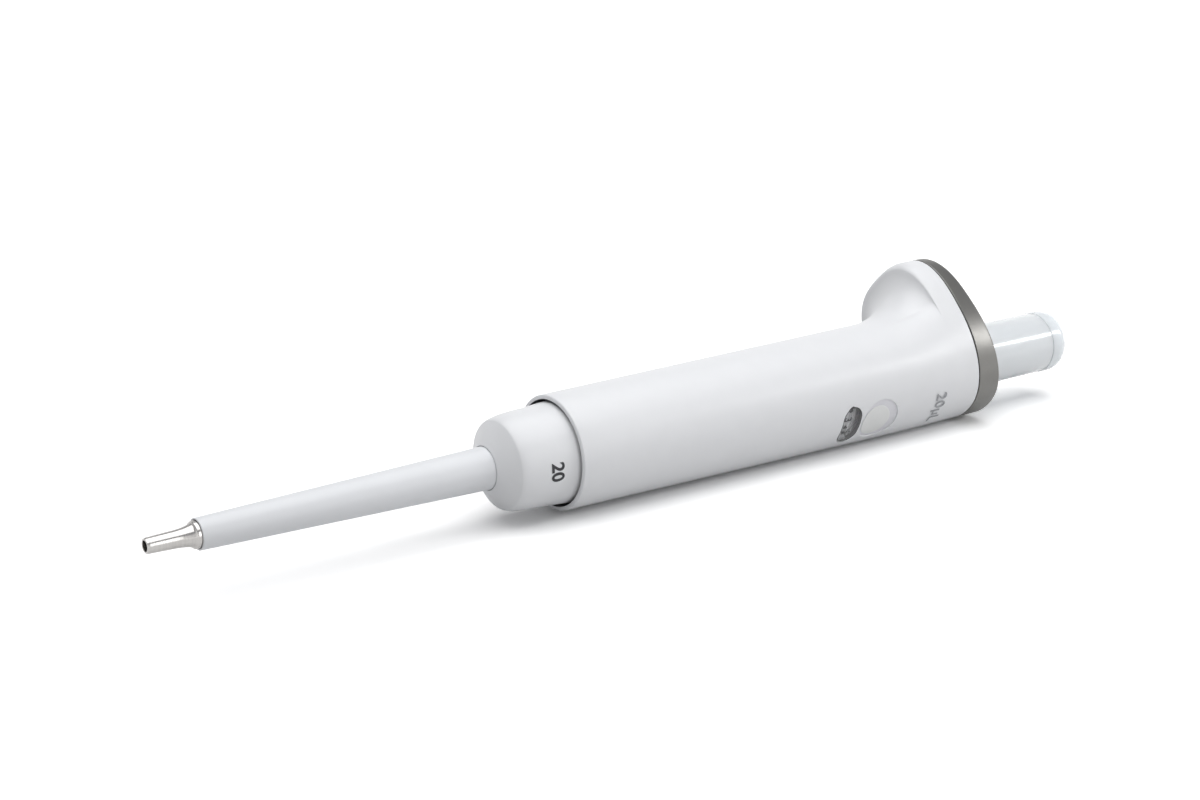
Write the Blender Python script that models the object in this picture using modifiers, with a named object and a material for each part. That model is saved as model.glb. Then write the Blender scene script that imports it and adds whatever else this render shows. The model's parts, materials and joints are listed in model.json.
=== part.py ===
"""A fixed volume pipette, lying on its side, as separate pieces with their real clearances.

Everything is modelled along the pipette's own axis, which is the local Z of one empty: the
tip end is towards minus Z, the button towards plus Z, the moulded hook towards plus X, and
station zero is the front rim of the grip. The empty then lays the pipette down along +X.
"""
import math

import bmesh
import bpy
from mathutils import Matrix

MM = 0.001
GAP = 0.3 * MM                      # clearance between pieces that touch
CUT_MARGIN = 1.0 * MM               # how far a cutter runs past what it cuts
LEAN = math.radians(45.0)           # the hook leans this far over from straight up

# Travels of everything that moves
STROKE = 12.8 * MM                  # measuring stroke, up to the first stop
BLOW_OUT = 3.0 * MM                 # overtravel that blows the last drop out
EJECT = 5.5 * MM                    # travel of the ejector sleeve
NOSE_GIVE = 3.0 * MM                # the sprung nose gives this much under a tip
FULL_PRESS = STROKE + BLOW_OUT + EJECT

# Grip
RIM_RADIUS = 12.5 * MM
BARREL_TAPER = 0.009                # growth of the barrel's radius along its length
FACE_STATION = 112.5 * MM           # where the metal end plate seats
RIM_BORE = 11.65 * MM
RIM_BORE_DEPTH = 9.5 * MM
BARREL_BORE = 11.2 * MM
LEDGE_STATION = 98.0 * MM
LEDGE_BORE = 9.6 * MM
LEDGE_DEPTH = 2.0 * MM
BUSH_BORE = 10.3 * MM
RIM_ROUND = 0.35 * MM
RIM_CHAMFER = 0.1 * MM
BORE_CHAMFER = 0.5 * MM

# Oval outline of the hook and of the end plate, seen along the axis
OVAL_HALF_WIDTH = 14.25 * MM
OVAL_MIDDLE = 8.0 * MM              # the widest place, this far towards the hook
OVAL_TIP = 25.8 * MM                # reach of the hook from the axis
OVAL_HEEL = 13.2 * MM               # reach on the side away from the hook
TIP_POWER = 2.7
HEEL_POWER = 2.2

# Finger rest, the hollow under the hook
SCOOP_START = 88.0 * MM
SCOOP_FACE = 106.5 * MM
SCOOP_SHARE = 0.93                  # share of the hook's height that the hollow takes
SCOOP_STEPS = 7
HOOK_EDGE = 1.6 * MM                # the soft edge between the hollow and the rim of the hook
HOOK_EDGE_STEPS = 2
HOOK_CORE_SIZE = (7.0 * MM, 15.0 * MM, 4.8 * MM)
HOOK_CORE_REACH = 17.5 * MM         # the pocket that keeps the moulding's wall even

# Metal end plate
PLATE_DEPTH = 5.9 * MM
PLATE_SLOPE = 0.10                  # it thins towards the hook
PLATE_WALL = 1.6 * MM
PLATE_BORE = 8.4 * MM
PLATE_ROUND = 0.9 * MM
PLATE_ROUND_SHARE = 0.3             # where the middle ring of the rounded edge lies

# Window and round seal on the barrel
WINDOW_BEARING = math.radians(158.4)
WINDOW_STATION = 73.3 * MM
WINDOW_LENGTH = 9.9 * MM
WINDOW_WIDTH = 5.4 * MM
WINDOW_LEDGE = 0.6 * MM             # width of the step that the pane rests on
PANE_SINK = 0.3 * MM                # depth of the pane's face below the barrel
PANE_DEPTH = 0.8 * MM
SEAL_STATION = 81.0 * MM
SEAL_RADIUS = 4.05 * MM
SEAL_SINK = 0.15 * MM               # depth of the seal's face below the barrel
RECESS_STATION = 82.0 * MM           # nearer to the button, which leaves a crescent beside the seal
RECESS_RADIUS = 5.4 * MM
RECESS_DEPTH = 0.75 * MM
TOOL_HOLE_RADIUS = 2.0 * MM         # under the seal, where the adjusting tool goes in

# Nose, cone and cylinder
CONE_END = -92.7 * MM
CONE_TOP = -79.3 * MM
CONE_LEDGE = -83.0 * MM
CONE_LEDGE_TOP = -81.5 * MM
CONE_LEDGE_RADIUS = 2.6 * MM
CONE_NECK_RADIUS = 1.6 * MM
CONE_TIP_RADIUS = 1.48 * MM
CONE_FLARE = (0.55 * MM, 4.6 * MM)  # how far the neck widens, and over what length
CONE_FLARE_STEPS = 4
TIP_CHAMFER = (0.16 * MM, 0.4 * MM)
MOUTH_RADIUS = 1.1 * MM
MOUTH_DEPTH = 4.0 * MM
MOUTH_TAPER = 1.0 * MM
CHANNEL_RADIUS = 0.5 * MM
SPIGOT_RADIUS = 1.3 * MM
SPIGOT_LENGTH = 3.0 * MM
SHAFT_THIN = 2.3 * MM
SHAFT_WIDE = 2.9 * MM
SHAFT_STEP = -54.0 * MM
SHAFT_STEP_TAPER = 8.0 * MM
SHAFT_NECK = 3.4 * MM
SHAFT_NECK_FOOT = -20.0 * MM
SHAFT_NECK_TAPER = 2.0 * MM
SHAFT_FLANGE = 4.9 * MM
SHAFT_FLANGE_STATION = -9.5 * MM
SHAFT_TOP = -7.0 * MM
GLAND_FOOT = -11.7 * MM
GLAND_TOP = -7.5 * MM
GLAND_RADIUS = 2.5 * MM
GLAND_PLAY = 0.3 * MM
SEAL_PLAY = 0.1 * MM                # the lip seal and the piston are this far apart
RING_WIRE = 0.4 * MM
RING_SIDES = 6
PISTON_RADIUS = 0.705 * MM          # 20 cubic millimetres over the measuring stroke
PISTON_FOOT = -27.0 * MM
LINER_FOOT = PISTON_FOOT - FULL_PRESS - NOSE_GIVE - 0.4 * MM
LINER_TOP = -15.6 * MM
LINER_RADIUS = 1.8 * MM
LINER_BORE = 0.8 * MM
HEAD_FOOT = GLAND_TOP + FULL_PRESS + NOSE_GIVE + 1.7 * MM
HEAD_TOP = HEAD_FOOT + 3.5 * MM
HEAD_SOCKET = 1.2 * MM
HEAD_RADIUS = 2.6 * MM

# Ejector: sleeve, bell and carriage
SLEEVE_END = -82.0 * MM
SLEEVE_END_RADIUS = 3.23 * MM
SLEEVE_TAPER = 0.021
SLEEVE_LIP = 0.2 * MM
SLEEVE_END_WALL = 0.33 * MM
SLEEVE_TOP_WALL = 0.8 * MM
SLEEVE_TOP = -11.6 * MM
SLEEVE_COLLAR = 6.0 * MM
SLEEVE_COLLAR_DEPTH = 1.5 * MM
BELL_FACE = -16.6 * MM
BELL_RADIUS = 10.6 * MM
BELL_SKIRT = -4.0 * MM              # where the straight skirt starts to draw in
BELL_CORNER = (10.5 * MM, -12.65 * MM)
BELL_FACE_SHARE = 0.2               # share of the sloping face that the soft shoulder takes
BELL_SHOULDER_STEPS = 7
BELL_HOLE = 4.9 * MM
BELL_BORE = 8.6 * MM
BELL_FLOOR_TAPER = (0.7 * MM, 1.0 * MM)
BELL_BORE_TAPER = 3.9 * MM
BELL_TOP = 8.0 * MM
BELL_SEAT = -3.3 * MM
CARRIAGE_RADIUS = 9.0 * MM
CARRIAGE_BORE = 8.2 * MM
CARRIAGE_TOP = 58.0 * MM
CARRIAGE_FLANGE = 38.0 * MM
CARRIAGE_FLANGE_DEPTH = 2.0 * MM
CARRIAGE_FLANGE_BORE = 4.0 * MM
CARRIAGE_SLOT = (6.0 * MM, 34.5 * MM)
CARRIAGE_SLOT_WIDTH = 12.0 * MM
CLIP_STATION = 53.3 * MM
CLIP_DEPTH = 1.0 * MM
CLIP_REACH = 0.2 * MM               # how far the clip stands out into its groove
CLIP_PLAY = 0.2 * MM
CLIP_BORE = 7.0 * MM
CLIP_OPENING = 4.0 * MM

# Frame inside the grip
BULKHEAD_STATION = 9.0 * MM
BULKHEAD_TOP = 13.0 * MM
BULKHEAD_RADIUS = 7.9 * MM
BULKHEAD_BORE = 3.4 * MM
ARM_REACH = 10.6 * MM
ARM_WIDTH = 5.0 * MM
ARM_ROOT = 1.5 * MM
NECK_RADIUS = 6.4 * MM
NECK_BORE = 5.2 * MM
NECK_FOOT = -9.5 * MM
NUT_RADIUS = 7.6 * MM
NUT_ACROSS = 14.7 * MM
NUT_FOOT = -11.3 * MM
NUT_TOP = -3.0 * MM
NUT_FLATS = 6

# Button, rod and stops
STOP_RING_STATION = 50.0 * MM
STOP_RING_DEPTH = 3.0 * MM
STOP_RING_RADIUS = 7.9 * MM
STOP_RING_BORE = 2.5 * MM
STOP_PLAY = 0.05 * MM
ROD_RADIUS = 2.0 * MM
COLLAR_RADIUS = 4.5 * MM
COLLAR_DEPTH = 2.4 * MM
SEAT_STATION = 80.0 * MM
SEAT_RADIUS = 7.8 * MM
SEAT_DEPTH = 2.0 * MM
SEAT_SHOULDER = (3.2 * MM, 1.2 * MM)
CARRIAGE_STOP_DEPTH = 2.0 * MM
BUSH_TOP = 117.4 * MM
BUSH_NECK = 8.1 * MM
BUSH_HOLE = 7.65 * MM
BUTTON_RADIUS = 7.3 * MM
BUTTON_BORE = 5.9 * MM
BUTTON_FOOT = 109.0 * MM
BUTTON_TOP = 144.3 * MM
DISC_SINK = 1.0 * MM
DISC_DEPTH = 3.0 * MM
CAP_END = 148.5 * MM
CAP_RADIUS = 7.5 * MM
CAP_ROUND = 1.8 * MM
CAP_ROUND_STEPS = 4
CAP_STUB = 138.0 * MM
CAP_SOCKET = 4.0 * MM

# Adjuster: the sleeve that sets the upper stop
ADJUSTER_FOOT = 66.0 * MM
ADJUSTER_TOP = LEDGE_STATION - GAP
ADJUSTER_RADIUS = 9.6 * MM
ADJUSTER_BORE = 8.2 * MM
ADJUSTER_LIP_BORE = 4.5 * MM
ADJUSTER_LIP_TOP = BUTTON_FOOT - FULL_PRESS - 1.7 * MM
ADJUSTER_THREAD_FOOT = 88.0 * MM
GEAR_RADIUS = 10.7 * MM
GEAR_SPAN = (78.4 * MM, 84.0 * MM)
GEAR_NOTCHES = 16
GEAR_NOTCH = (1.6 * MM, 1.4 * MM)
SCALE_RADIUS = 10.9 * MM
SCALE_SPAN = (69.4 * MM, 77.4 * MM)

# Springs: mean radius, wire and turns
NOSE_SPRING = (4.3 * MM, 0.7 * MM, 4)
EJECTOR_SPRING = (6.4 * MM, 1.2 * MM, 4.5)
BLOW_OUT_SPRING = (6.4 * MM, 1.1 * MM, 3.5)
MEASURING_SPRING = (5.9 * MM, 0.8 * MM, 6)
END_PITCH = 1.08                    # pitch of the end turns, in wires

# Facets round the turned and lofted pieces
FINE = 56                           # the grip and the end plate
ROUND = 36                          # the bell
MEDIUM = 30                         # the sleeve and the button
COARSE = 24                         # the cone and pieces inside the grip
SMALL = 18                          # pieces inside the nose
COIL_STEPS = 7                      # points in each turn of a spring
PAD_SIDES = 16
PAD_RINGS = 2                       # rings that let a wrapped pad follow the barrel

for old in list(bpy.data.objects):
    bpy.data.objects.remove(old, do_unlink=True)


def new_collection(name):
    """make a collection in the scene"""
    collection = bpy.data.collections.new(name)
    bpy.context.scene.collection.children.link(collection)
    return collection


parts = new_collection("fixed_volume_pipette")
cutters = new_collection("cutters")

axis = bpy.data.objects.new("pipette_axis", None)
parts.objects.link(axis)


def pivot(name):
    """an empty on the pipette's axis that carries one moving body"""
    empty = bpy.data.objects.new(name, None)
    parts.objects.link(empty)
    empty.parent = axis
    return empty


def finish(name, colour, roughness, metallic=0.0, alpha=1.0):
    """a plain Principled material"""
    material = bpy.data.materials.new(name)
    material.use_nodes = True
    shader = material.node_tree.nodes["Principled BSDF"]
    shader.inputs["Base Color"].default_value = (*colour, 1.0)
    shader.inputs["Roughness"].default_value = roughness
    shader.inputs["Metallic"].default_value = metallic
    shader.inputs["Alpha"].default_value = alpha
    return material


def place(name, data, material, carrier):
    """put a mesh or a curve in the scene under the empty that carries it"""
    thing = bpy.data.objects.new(name, data)
    parts.objects.link(thing)
    thing.parent = carrier
    data.materials.append(material)
    return thing


def turned(name, outline, material, carrier, steps=COARSE, closed=True):
    """turn an outline of (radius, station) about the axis, down its outer side first"""
    mesh = bpy.data.meshes.new(name)
    count = len(outline)
    edges = [(i, i + 1) for i in range(count - 1)]
    if closed:
        edges.append((count - 1, 0))
    mesh.from_pydata([(radius, 0.0, station) for radius, station in outline], edges, [])
    thing = place(name, mesh, material, carrier)
    screw = thing.modifiers.new("turn", "SCREW")
    screw.axis = "Z"
    screw.steps = steps
    screw.render_steps = steps
    screw.use_merge_vertices = True
    screw.merge_threshold = 0.00001
    screw.use_smooth_shade = True
    return thing


def tube(name, outer, inner, foot, top, material, carrier, steps=COARSE):
    """a plain ring or tube"""
    outline = [(outer, top), (outer, foot), (inner, foot), (inner, top)]
    return turned(name, outline, material, carrier, steps)


def arc(centre, radii, start, end, count):
    """points of an ellipse's arc, with the angles in degrees"""
    points = []
    for step in range(count + 1):
        angle = math.radians(start + (end - start) * step / count)
        points.append((centre[0] + radii[0] * math.cos(angle), centre[1] + radii[1] * math.sin(angle)))
    return points


def soft_corner(start, corner, end, share, count):
    """points of a curve that leaves start towards a corner and joins the line from there to end"""
    joint = [corner[k] + share * (end[k] - corner[k]) for k in range(2)]
    points = []
    for step in range(count + 1):
        t = step / count
        weights = ((1 - t) ** 2, 2 * t * (1 - t), t ** 2)
        points.append(tuple(weights[0] * start[k] + weights[1] * corner[k] + weights[2] * joint[k]
                            for k in range(2)))
    return points


def coil(name, spring, foot, top, material, carrier):
    """a round wire compression spring whose end turns lie close together"""
    radius, wire, turns = spring
    curve = bpy.data.curves.new(name, "CURVE")
    curve.dimensions = "3D"
    curve.bevel_depth = wire / 2
    curve.bevel_resolution = 2
    curve.use_fill_caps = True
    count = int(turns * COIL_STEPS) + 1
    spline = curve.splines.new("POLY")
    spline.points.add(count - 1)
    start = foot + wire / 2
    span = top - foot - wire
    close_pitch = END_PITCH * wire
    end_share = 1.0 / turns
    for step in range(count):
        share = step / (count - 1)
        angle = 2 * math.pi * turns * share
        if share < end_share:
            height = close_pitch * share / end_share
        elif share > 1 - end_share:
            height = span - close_pitch * (1 - share) / end_share
        else:
            middle = (share - end_share) / (1 - 2 * end_share)
            height = close_pitch + (span - 2 * close_pitch) * middle
        spline.points[step].co = (radius * math.cos(angle), radius * math.sin(angle), start + height, 1.0)
    return place(name, curve, material, carrier)


def loft(name, rings, material, carrier):
    """join rings of equal count into one closed skin, the last ring meeting the first"""
    shape = bmesh.new()
    loops = [[shape.verts.new(point) for point in ring] for ring in rings]
    around = len(rings[0])
    for level, loop in enumerate(loops):
        below = loops[(level + 1) % len(loops)]
        for i in range(around):
            j = (i + 1) % around
            shape.faces.new((loop[i], below[i], below[j], loop[j]))
    bmesh.ops.recalc_face_normals(shape, faces=shape.faces)
    mesh = bpy.data.meshes.new(name)
    shape.to_mesh(mesh)
    shape.free()
    mesh.shade_smooth()
    mesh.set_sharp_from_angle(angle=math.radians(35.0))
    return place(name, mesh, material, carrier)


def guide(name, shape):
    """turn a bmesh into a hidden cutter that follows the axis"""
    mesh = bpy.data.meshes.new(name)
    shape.to_mesh(mesh)
    shape.free()
    cutter = bpy.data.objects.new(name, mesh)
    cutters.objects.link(cutter)
    cutter.parent = axis
    cutter.hide_render = True
    cutter.display_type = "WIRE"
    return cutter


def block(size, middle):
    """a box as a bmesh, by its size and middle"""
    shape = bmesh.new()
    bmesh.ops.create_cube(shape, size=1.0, matrix=Matrix.Translation(middle) @ Matrix.Diagonal((*size, 1.0)))
    return shape


def combine(thing, cutter, operation):
    """add a Boolean modifier"""
    boolean = thing.modifiers.new(cutter.name, "BOOLEAN")
    boolean.object = cutter
    boolean.operation = operation
    boolean.solver = "EXACT"


def wrapped_pad(length, width, inner, outer, station, bearing):
    """a stadium wrapped round the barrel between two radii; length runs round the barrel"""
    shape = bmesh.new()
    bmesh.ops.create_circle(shape, cap_ends=True, segments=PAD_SIDES, radius=width / 2)
    stretch = (length - width) / 2
    on_middle = 0.01 * MM
    for vert in shape.verts:
        if abs(vert.co.y) > on_middle:
            vert.co.y += math.copysign(stretch, vert.co.y)
    for _ in range(PAD_RINGS):
        middle = max(shape.faces, key=lambda face: len(face.verts))
        step = width / 2 / (PAD_RINGS + 1)
        bmesh.ops.inset_region(shape, faces=[middle], thickness=step, use_boundary=True, use_even_offset=True)
    lid = bmesh.ops.extrude_face_region(shape, geom=shape.faces[:])
    for item in lid["geom"]:
        if isinstance(item, bmesh.types.BMVert):
            item.co.z = 1.0
    for vert in shape.verts:
        radius = inner + (outer - inner) * vert.co.z
        angle = bearing + vert.co.y / barrel_radius(station)
        vert.co = (radius * math.cos(angle), radius * math.sin(angle), station + vert.co.x)
    bmesh.ops.recalc_face_normals(shape, faces=shape.faces)
    return shape


def pad_piece(name, shape, material, carrier):
    """a wrapped pad as a visible piece"""
    mesh = bpy.data.meshes.new(name)
    shape.to_mesh(mesh)
    shape.free()
    return place(name, mesh, material, carrier)


def barrel_radius(station):
    """outer radius of the grip's barrel"""
    return RIM_RADIUS + BARREL_TAPER * station


def oval_radius(angle):
    """reach of the oval from the axis, with the angle measured from the hook"""
    low, high = 0.0, 2 * OVAL_TIP
    for _ in range(40):
        reach = (low + high) / 2
        along = reach * math.cos(angle) - OVAL_MIDDLE
        across = abs(reach * math.sin(angle)) / OVAL_HALF_WIDTH
        if along > 0:
            power, length = TIP_POWER, OVAL_TIP - OVAL_MIDDLE
        else:
            power, length = HEEL_POWER, OVAL_HEEL + OVAL_MIDDLE
        if across ** power + (abs(along) / length) ** power < 1.0:
            low = reach
        else:
            high = reach
    return low


ANGLES = [2 * math.pi * i / FINE for i in range(FINE)]


def oval_ring(station, shrink=0.0):
    """a ring of the oval outline; the station may be a number or a function of the place"""
    ring = []
    for angle in ANGLES:
        reach = oval_radius(angle) - shrink
        x, y = reach * math.cos(angle), reach * math.sin(angle)
        ring.append((x, y, station(x) if callable(station) else station))
    return ring


def round_ring(radius, station):
    """a round ring; the station may be a number or a function of the place"""
    ring = []
    for angle in ANGLES:
        x, y = radius * math.cos(angle), radius * math.sin(angle)
        ring.append((x, y, station(x) if callable(station) else station))
    return ring


def blend_ring(station, share):
    """a ring part of the way from the round barrel to the oval"""
    ring = []
    for angle in ANGLES:
        base = barrel_radius(station)
        reach = base + (oval_radius(angle) - base) * share
        ring.append((reach * math.cos(angle), reach * math.sin(angle), station))
    return ring


# Colours as the parts show them
WHITE = finish("white_moulding", (0.80, 0.81, 0.83), 0.35)
PALE = finish("pale_moulding", (0.74, 0.76, 0.79), 0.35)
CLEAR = finish("clear_plastic", (0.80, 0.84, 0.88), 0.12, alpha=0.55)
METAL = finish("satin_metal", (0.42, 0.42, 0.43), 0.32, metallic=1.0)
STEEL = finish("bright_steel", (0.62, 0.62, 0.63), 0.22, metallic=1.0)
SPRING = finish("spring_wire", (0.55, 0.55, 0.56), 0.28, metallic=1.0)
NATURAL = finish("natural_bearing_plastic", (0.70, 0.68, 0.62), 0.45)
DARK = finish("dark_plastic", (0.05, 0.05, 0.055), 0.45)
RUBBER = finish("black_rubber", (0.03, 0.03, 0.03), 0.6)
GREY = finish("grey_seal_foil", (0.62, 0.63, 0.66), 0.4)

ejector = pivot("ejector_slide")
overtravel = pivot("blow_out_slide")
plunger = pivot("plunger_slide")
nose = pivot("nose_slide")
adjuster = pivot("adjuster_turn")


def grip_shell():
    """the moulded grip: a tapered barrel that flares into the oval hook, all in one skin"""
    rings = [round_ring(RIM_BORE + RIM_CHAMFER, 0.0)]
    rings.append(round_ring(RIM_RADIUS - RIM_ROUND, 0.0))
    rings.append(round_ring(RIM_RADIUS, RIM_ROUND))
    for step in range(SCOOP_STEPS + 1):
        angle = math.radians(90.0) * step / SCOOP_STEPS
        station = SCOOP_START + (SCOOP_FACE - SCOOP_START) * math.sin(angle)
        rings.append(blend_ring(station, SCOOP_SHARE * (1 - math.cos(angle))))
    for step in range(1, HOOK_EDGE_STEPS + 1):
        angle = math.radians(90.0) * step / HOOK_EDGE_STEPS
        station = SCOOP_FACE + HOOK_EDGE * (1 - math.cos(angle))
        rings.append(blend_ring(station, SCOOP_SHARE + (1 - SCOOP_SHARE) * math.sin(angle)))
    rings.append(oval_ring(FACE_STATION))
    rings.append(round_ring(BUSH_BORE, FACE_STATION))
    rings.append(round_ring(BUSH_BORE, LEDGE_STATION + LEDGE_DEPTH))
    rings.append(round_ring(LEDGE_BORE, LEDGE_STATION + LEDGE_DEPTH))
    rings.append(round_ring(LEDGE_BORE, LEDGE_STATION))
    rings.append(round_ring(BARREL_BORE, LEDGE_STATION))
    rings.append(round_ring(BARREL_BORE, RIM_BORE_DEPTH))
    rings.append(round_ring(RIM_BORE, RIM_BORE_DEPTH - BORE_CHAMFER))
    shell = loft("grip_shell", rings, WHITE, axis)
    core = block(HOOK_CORE_SIZE, (HOOK_CORE_REACH, 0.0, FACE_STATION))
    combine(shell, guide("hook_core_cutter", core), "DIFFERENCE")
    window_openings(shell)


def window_openings(shell):
    """the stepped slot for the window, and the recess and tool hole under the round seal"""
    surface = barrel_radius(WINDOW_STATION)
    floor = surface - PANE_SINK - PANE_DEPTH - GAP
    pocket = wrapped_pad(WINDOW_LENGTH, WINDOW_WIDTH, floor, surface + CUT_MARGIN, WINDOW_STATION,
                         WINDOW_BEARING)
    combine(shell, guide("window_pocket_cutter", pocket), "DIFFERENCE")
    slot = wrapped_pad(WINDOW_LENGTH - 2 * WINDOW_LEDGE, WINDOW_WIDTH - 2 * WINDOW_LEDGE,
                       BARREL_BORE - CUT_MARGIN, surface, WINDOW_STATION, WINDOW_BEARING)
    combine(shell, guide("window_slot_cutter", slot), "DIFFERENCE")
    surface = barrel_radius(SEAL_STATION)
    recess = wrapped_pad(2 * RECESS_RADIUS, 2 * RECESS_RADIUS, surface - RECESS_DEPTH,
                         surface + CUT_MARGIN, RECESS_STATION, WINDOW_BEARING)
    combine(shell, guide("seal_cutter", recess), "DIFFERENCE")
    hole = bmesh.new()
    outwards = Matrix.Rotation(WINDOW_BEARING, 4, "Z") @ Matrix.Rotation(math.radians(90.0), 4, "Y")
    length = surface - BARREL_BORE + 2 * CUT_MARGIN
    middle = Matrix.Translation((0.0, 0.0, (surface + BARREL_BORE) / 2))
    bmesh.ops.create_cone(hole, cap_ends=True, segments=SMALL, radius1=TOOL_HOLE_RADIUS,
                          radius2=TOOL_HOLE_RADIUS, depth=length,
                          matrix=Matrix.Translation((0.0, 0.0, SEAL_STATION)) @ outwards @ middle)
    combine(shell, guide("tool_hole_cutter", hole), "DIFFERENCE")


def end_plate():
    """the metal cap on the end of the grip, thinner towards the hook and hollow underneath"""
    seat = FACE_STATION + GAP
    soft = PLATE_ROUND_SHARE * PLATE_ROUND

    def rear(x):
        return FACE_STATION + PLATE_DEPTH - PLATE_SLOPE * x

    def below_round(x):
        return rear(x) - PLATE_ROUND

    def middle_of_round(x):
        return rear(x) - soft

    def ceiling(x):
        return rear(x) - PLATE_WALL

    rings = [oval_ring(seat), oval_ring(below_round), oval_ring(middle_of_round, soft)]
    rings.append(oval_ring(rear, PLATE_ROUND))
    rings.append(round_ring(PLATE_BORE, rear))
    rings.append(round_ring(PLATE_BORE, ceiling))
    rings.append(oval_ring(ceiling, PLATE_WALL))
    rings.append(oval_ring(seat, PLATE_WALL))
    loft("end_plate", rings, METAL, axis)


def window_and_seal():
    """the clear pane over the adjustment scale, and the round seal over the tool hole"""
    outer = barrel_radius(WINDOW_STATION) - PANE_SINK
    pane = wrapped_pad(WINDOW_LENGTH - 2 * GAP, WINDOW_WIDTH - 2 * GAP, outer - PANE_DEPTH, outer,
                       WINDOW_STATION, WINDOW_BEARING)
    pad_piece("adjustment_window", pane, CLEAR, axis)
    face = barrel_radius(SEAL_STATION) - SEAL_SINK
    floor = barrel_radius(SEAL_STATION) - RECESS_DEPTH + GAP
    seal = wrapped_pad(2 * SEAL_RADIUS, 2 * SEAL_RADIUS, floor, face, SEAL_STATION, WINDOW_BEARING)
    pad_piece("adjustment_seal", seal, GREY, axis)


def tip_cone():
    """the steel cone that takes a pipette tip, with its thin mouth, flare, ledge and socket"""
    neck = CONE_LEDGE - CONE_FLARE[1]
    tip = CONE_END + TIP_CHAMFER[1]
    socket = CONE_TOP - SPIGOT_LENGTH
    outline = [(SHAFT_THIN, CONE_TOP), (SHAFT_THIN, CONE_LEDGE_TOP)]
    outline += [(CONE_LEDGE_RADIUS, CONE_LEDGE_TOP), (CONE_LEDGE_RADIUS, CONE_LEDGE)]
    outline += arc((CONE_NECK_RADIUS + CONE_FLARE[0], neck), (-CONE_FLARE[0], CONE_FLARE[1]), 90, 0,
                   CONE_FLARE_STEPS)
    outline += [(CONE_TIP_RADIUS, tip), (CONE_TIP_RADIUS - TIP_CHAMFER[0], CONE_END)]
    outline += [(MOUTH_RADIUS, CONE_END), (MOUTH_RADIUS, CONE_END + MOUTH_DEPTH)]
    outline.append((CHANNEL_RADIUS, CONE_END + MOUTH_DEPTH + MOUTH_TAPER))
    outline += [(CHANNEL_RADIUS, socket), (SPIGOT_RADIUS + GAP, socket), (SPIGOT_RADIUS + GAP, CONE_TOP)]
    turned("tip_cone", outline, STEEL, nose)


def nose_shaft():
    """the hidden shaft that carries the cone on its spigot and holds the cylinder"""
    pocket = GLAND_RADIUS + GAP
    bore = LINER_RADIUS + GAP
    shoulder = CONE_TOP + GAP
    end = CONE_TOP - SPIGOT_LENGTH + GAP
    outline = [(SHAFT_FLANGE, SHAFT_TOP), (SHAFT_FLANGE, SHAFT_FLANGE_STATION)]
    outline += [(SHAFT_NECK, SHAFT_FLANGE_STATION), (SHAFT_NECK, SHAFT_NECK_FOOT)]
    outline += [(SHAFT_WIDE, SHAFT_NECK_FOOT - SHAFT_NECK_TAPER), (SHAFT_WIDE, SHAFT_STEP)]
    outline += [(SHAFT_THIN, SHAFT_STEP - SHAFT_STEP_TAPER), (SHAFT_THIN, shoulder)]
    outline += [(SPIGOT_RADIUS, shoulder), (SPIGOT_RADIUS, end), (CHANNEL_RADIUS, end)]
    outline += [(CHANNEL_RADIUS, LINER_FOOT - GAP), (bore, LINER_FOOT - GAP), (bore, GLAND_FOOT - GAP)]
    outline += [(pocket, GLAND_FOOT - GAP), (pocket, SHAFT_TOP)]
    turned("nose_shaft", outline, NATURAL, nose, SMALL)


def cylinder_and_seals():
    """the measuring cylinder with its O-ring, lip seal and gland, and the spring behind the nose"""
    tube("measuring_cylinder", LINER_RADIUS, LINER_BORE, LINER_FOOT, LINER_TOP, STEEL, nose, SMALL)
    middle = LINER_TOP + GAP + RING_WIRE
    last_side = 90 - 360 * (1 - 1 / RING_SIDES)
    ring = arc((LINER_RADIUS - RING_WIRE, middle), (RING_WIRE, RING_WIRE), 90, last_side, RING_SIDES - 1)
    turned("seal_o_ring", ring, RUBBER, nose, SMALL)
    seal_bore = LINER_BORE + SEAL_PLAY
    seal_foot = middle + RING_WIRE + GAP
    tube("piston_seal", LINER_RADIUS, seal_bore, seal_foot, GLAND_FOOT - GAP, NATURAL, nose, SMALL)
    gland_bore = LINER_BORE + GLAND_PLAY
    tube("seal_gland", GLAND_RADIUS, gland_bore, GLAND_FOOT, GLAND_TOP, STEEL, nose, SMALL)
    coil("nose_spring", NOSE_SPRING, SHAFT_TOP + GAP, BULKHEAD_STATION - GAP, SPRING, axis)


def piston():
    """the thin piston and the head that the rod pushes"""
    top = HEAD_TOP - HEAD_SOCKET
    shank = [(0.0, top), (PISTON_RADIUS, top), (PISTON_RADIUS, PISTON_FOOT), (0.0, PISTON_FOOT)]
    turned("piston", shank, STEEL, plunger, SMALL, closed=False)
    bore = PISTON_RADIUS + GAP
    head = [(0.0, HEAD_TOP), (HEAD_RADIUS, HEAD_TOP), (HEAD_RADIUS, HEAD_FOOT), (bore, HEAD_FOOT)]
    head += [(bore, top + GAP), (0.0, top + GAP)]
    turned("piston_head", head, NATURAL, plunger, closed=False)


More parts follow.
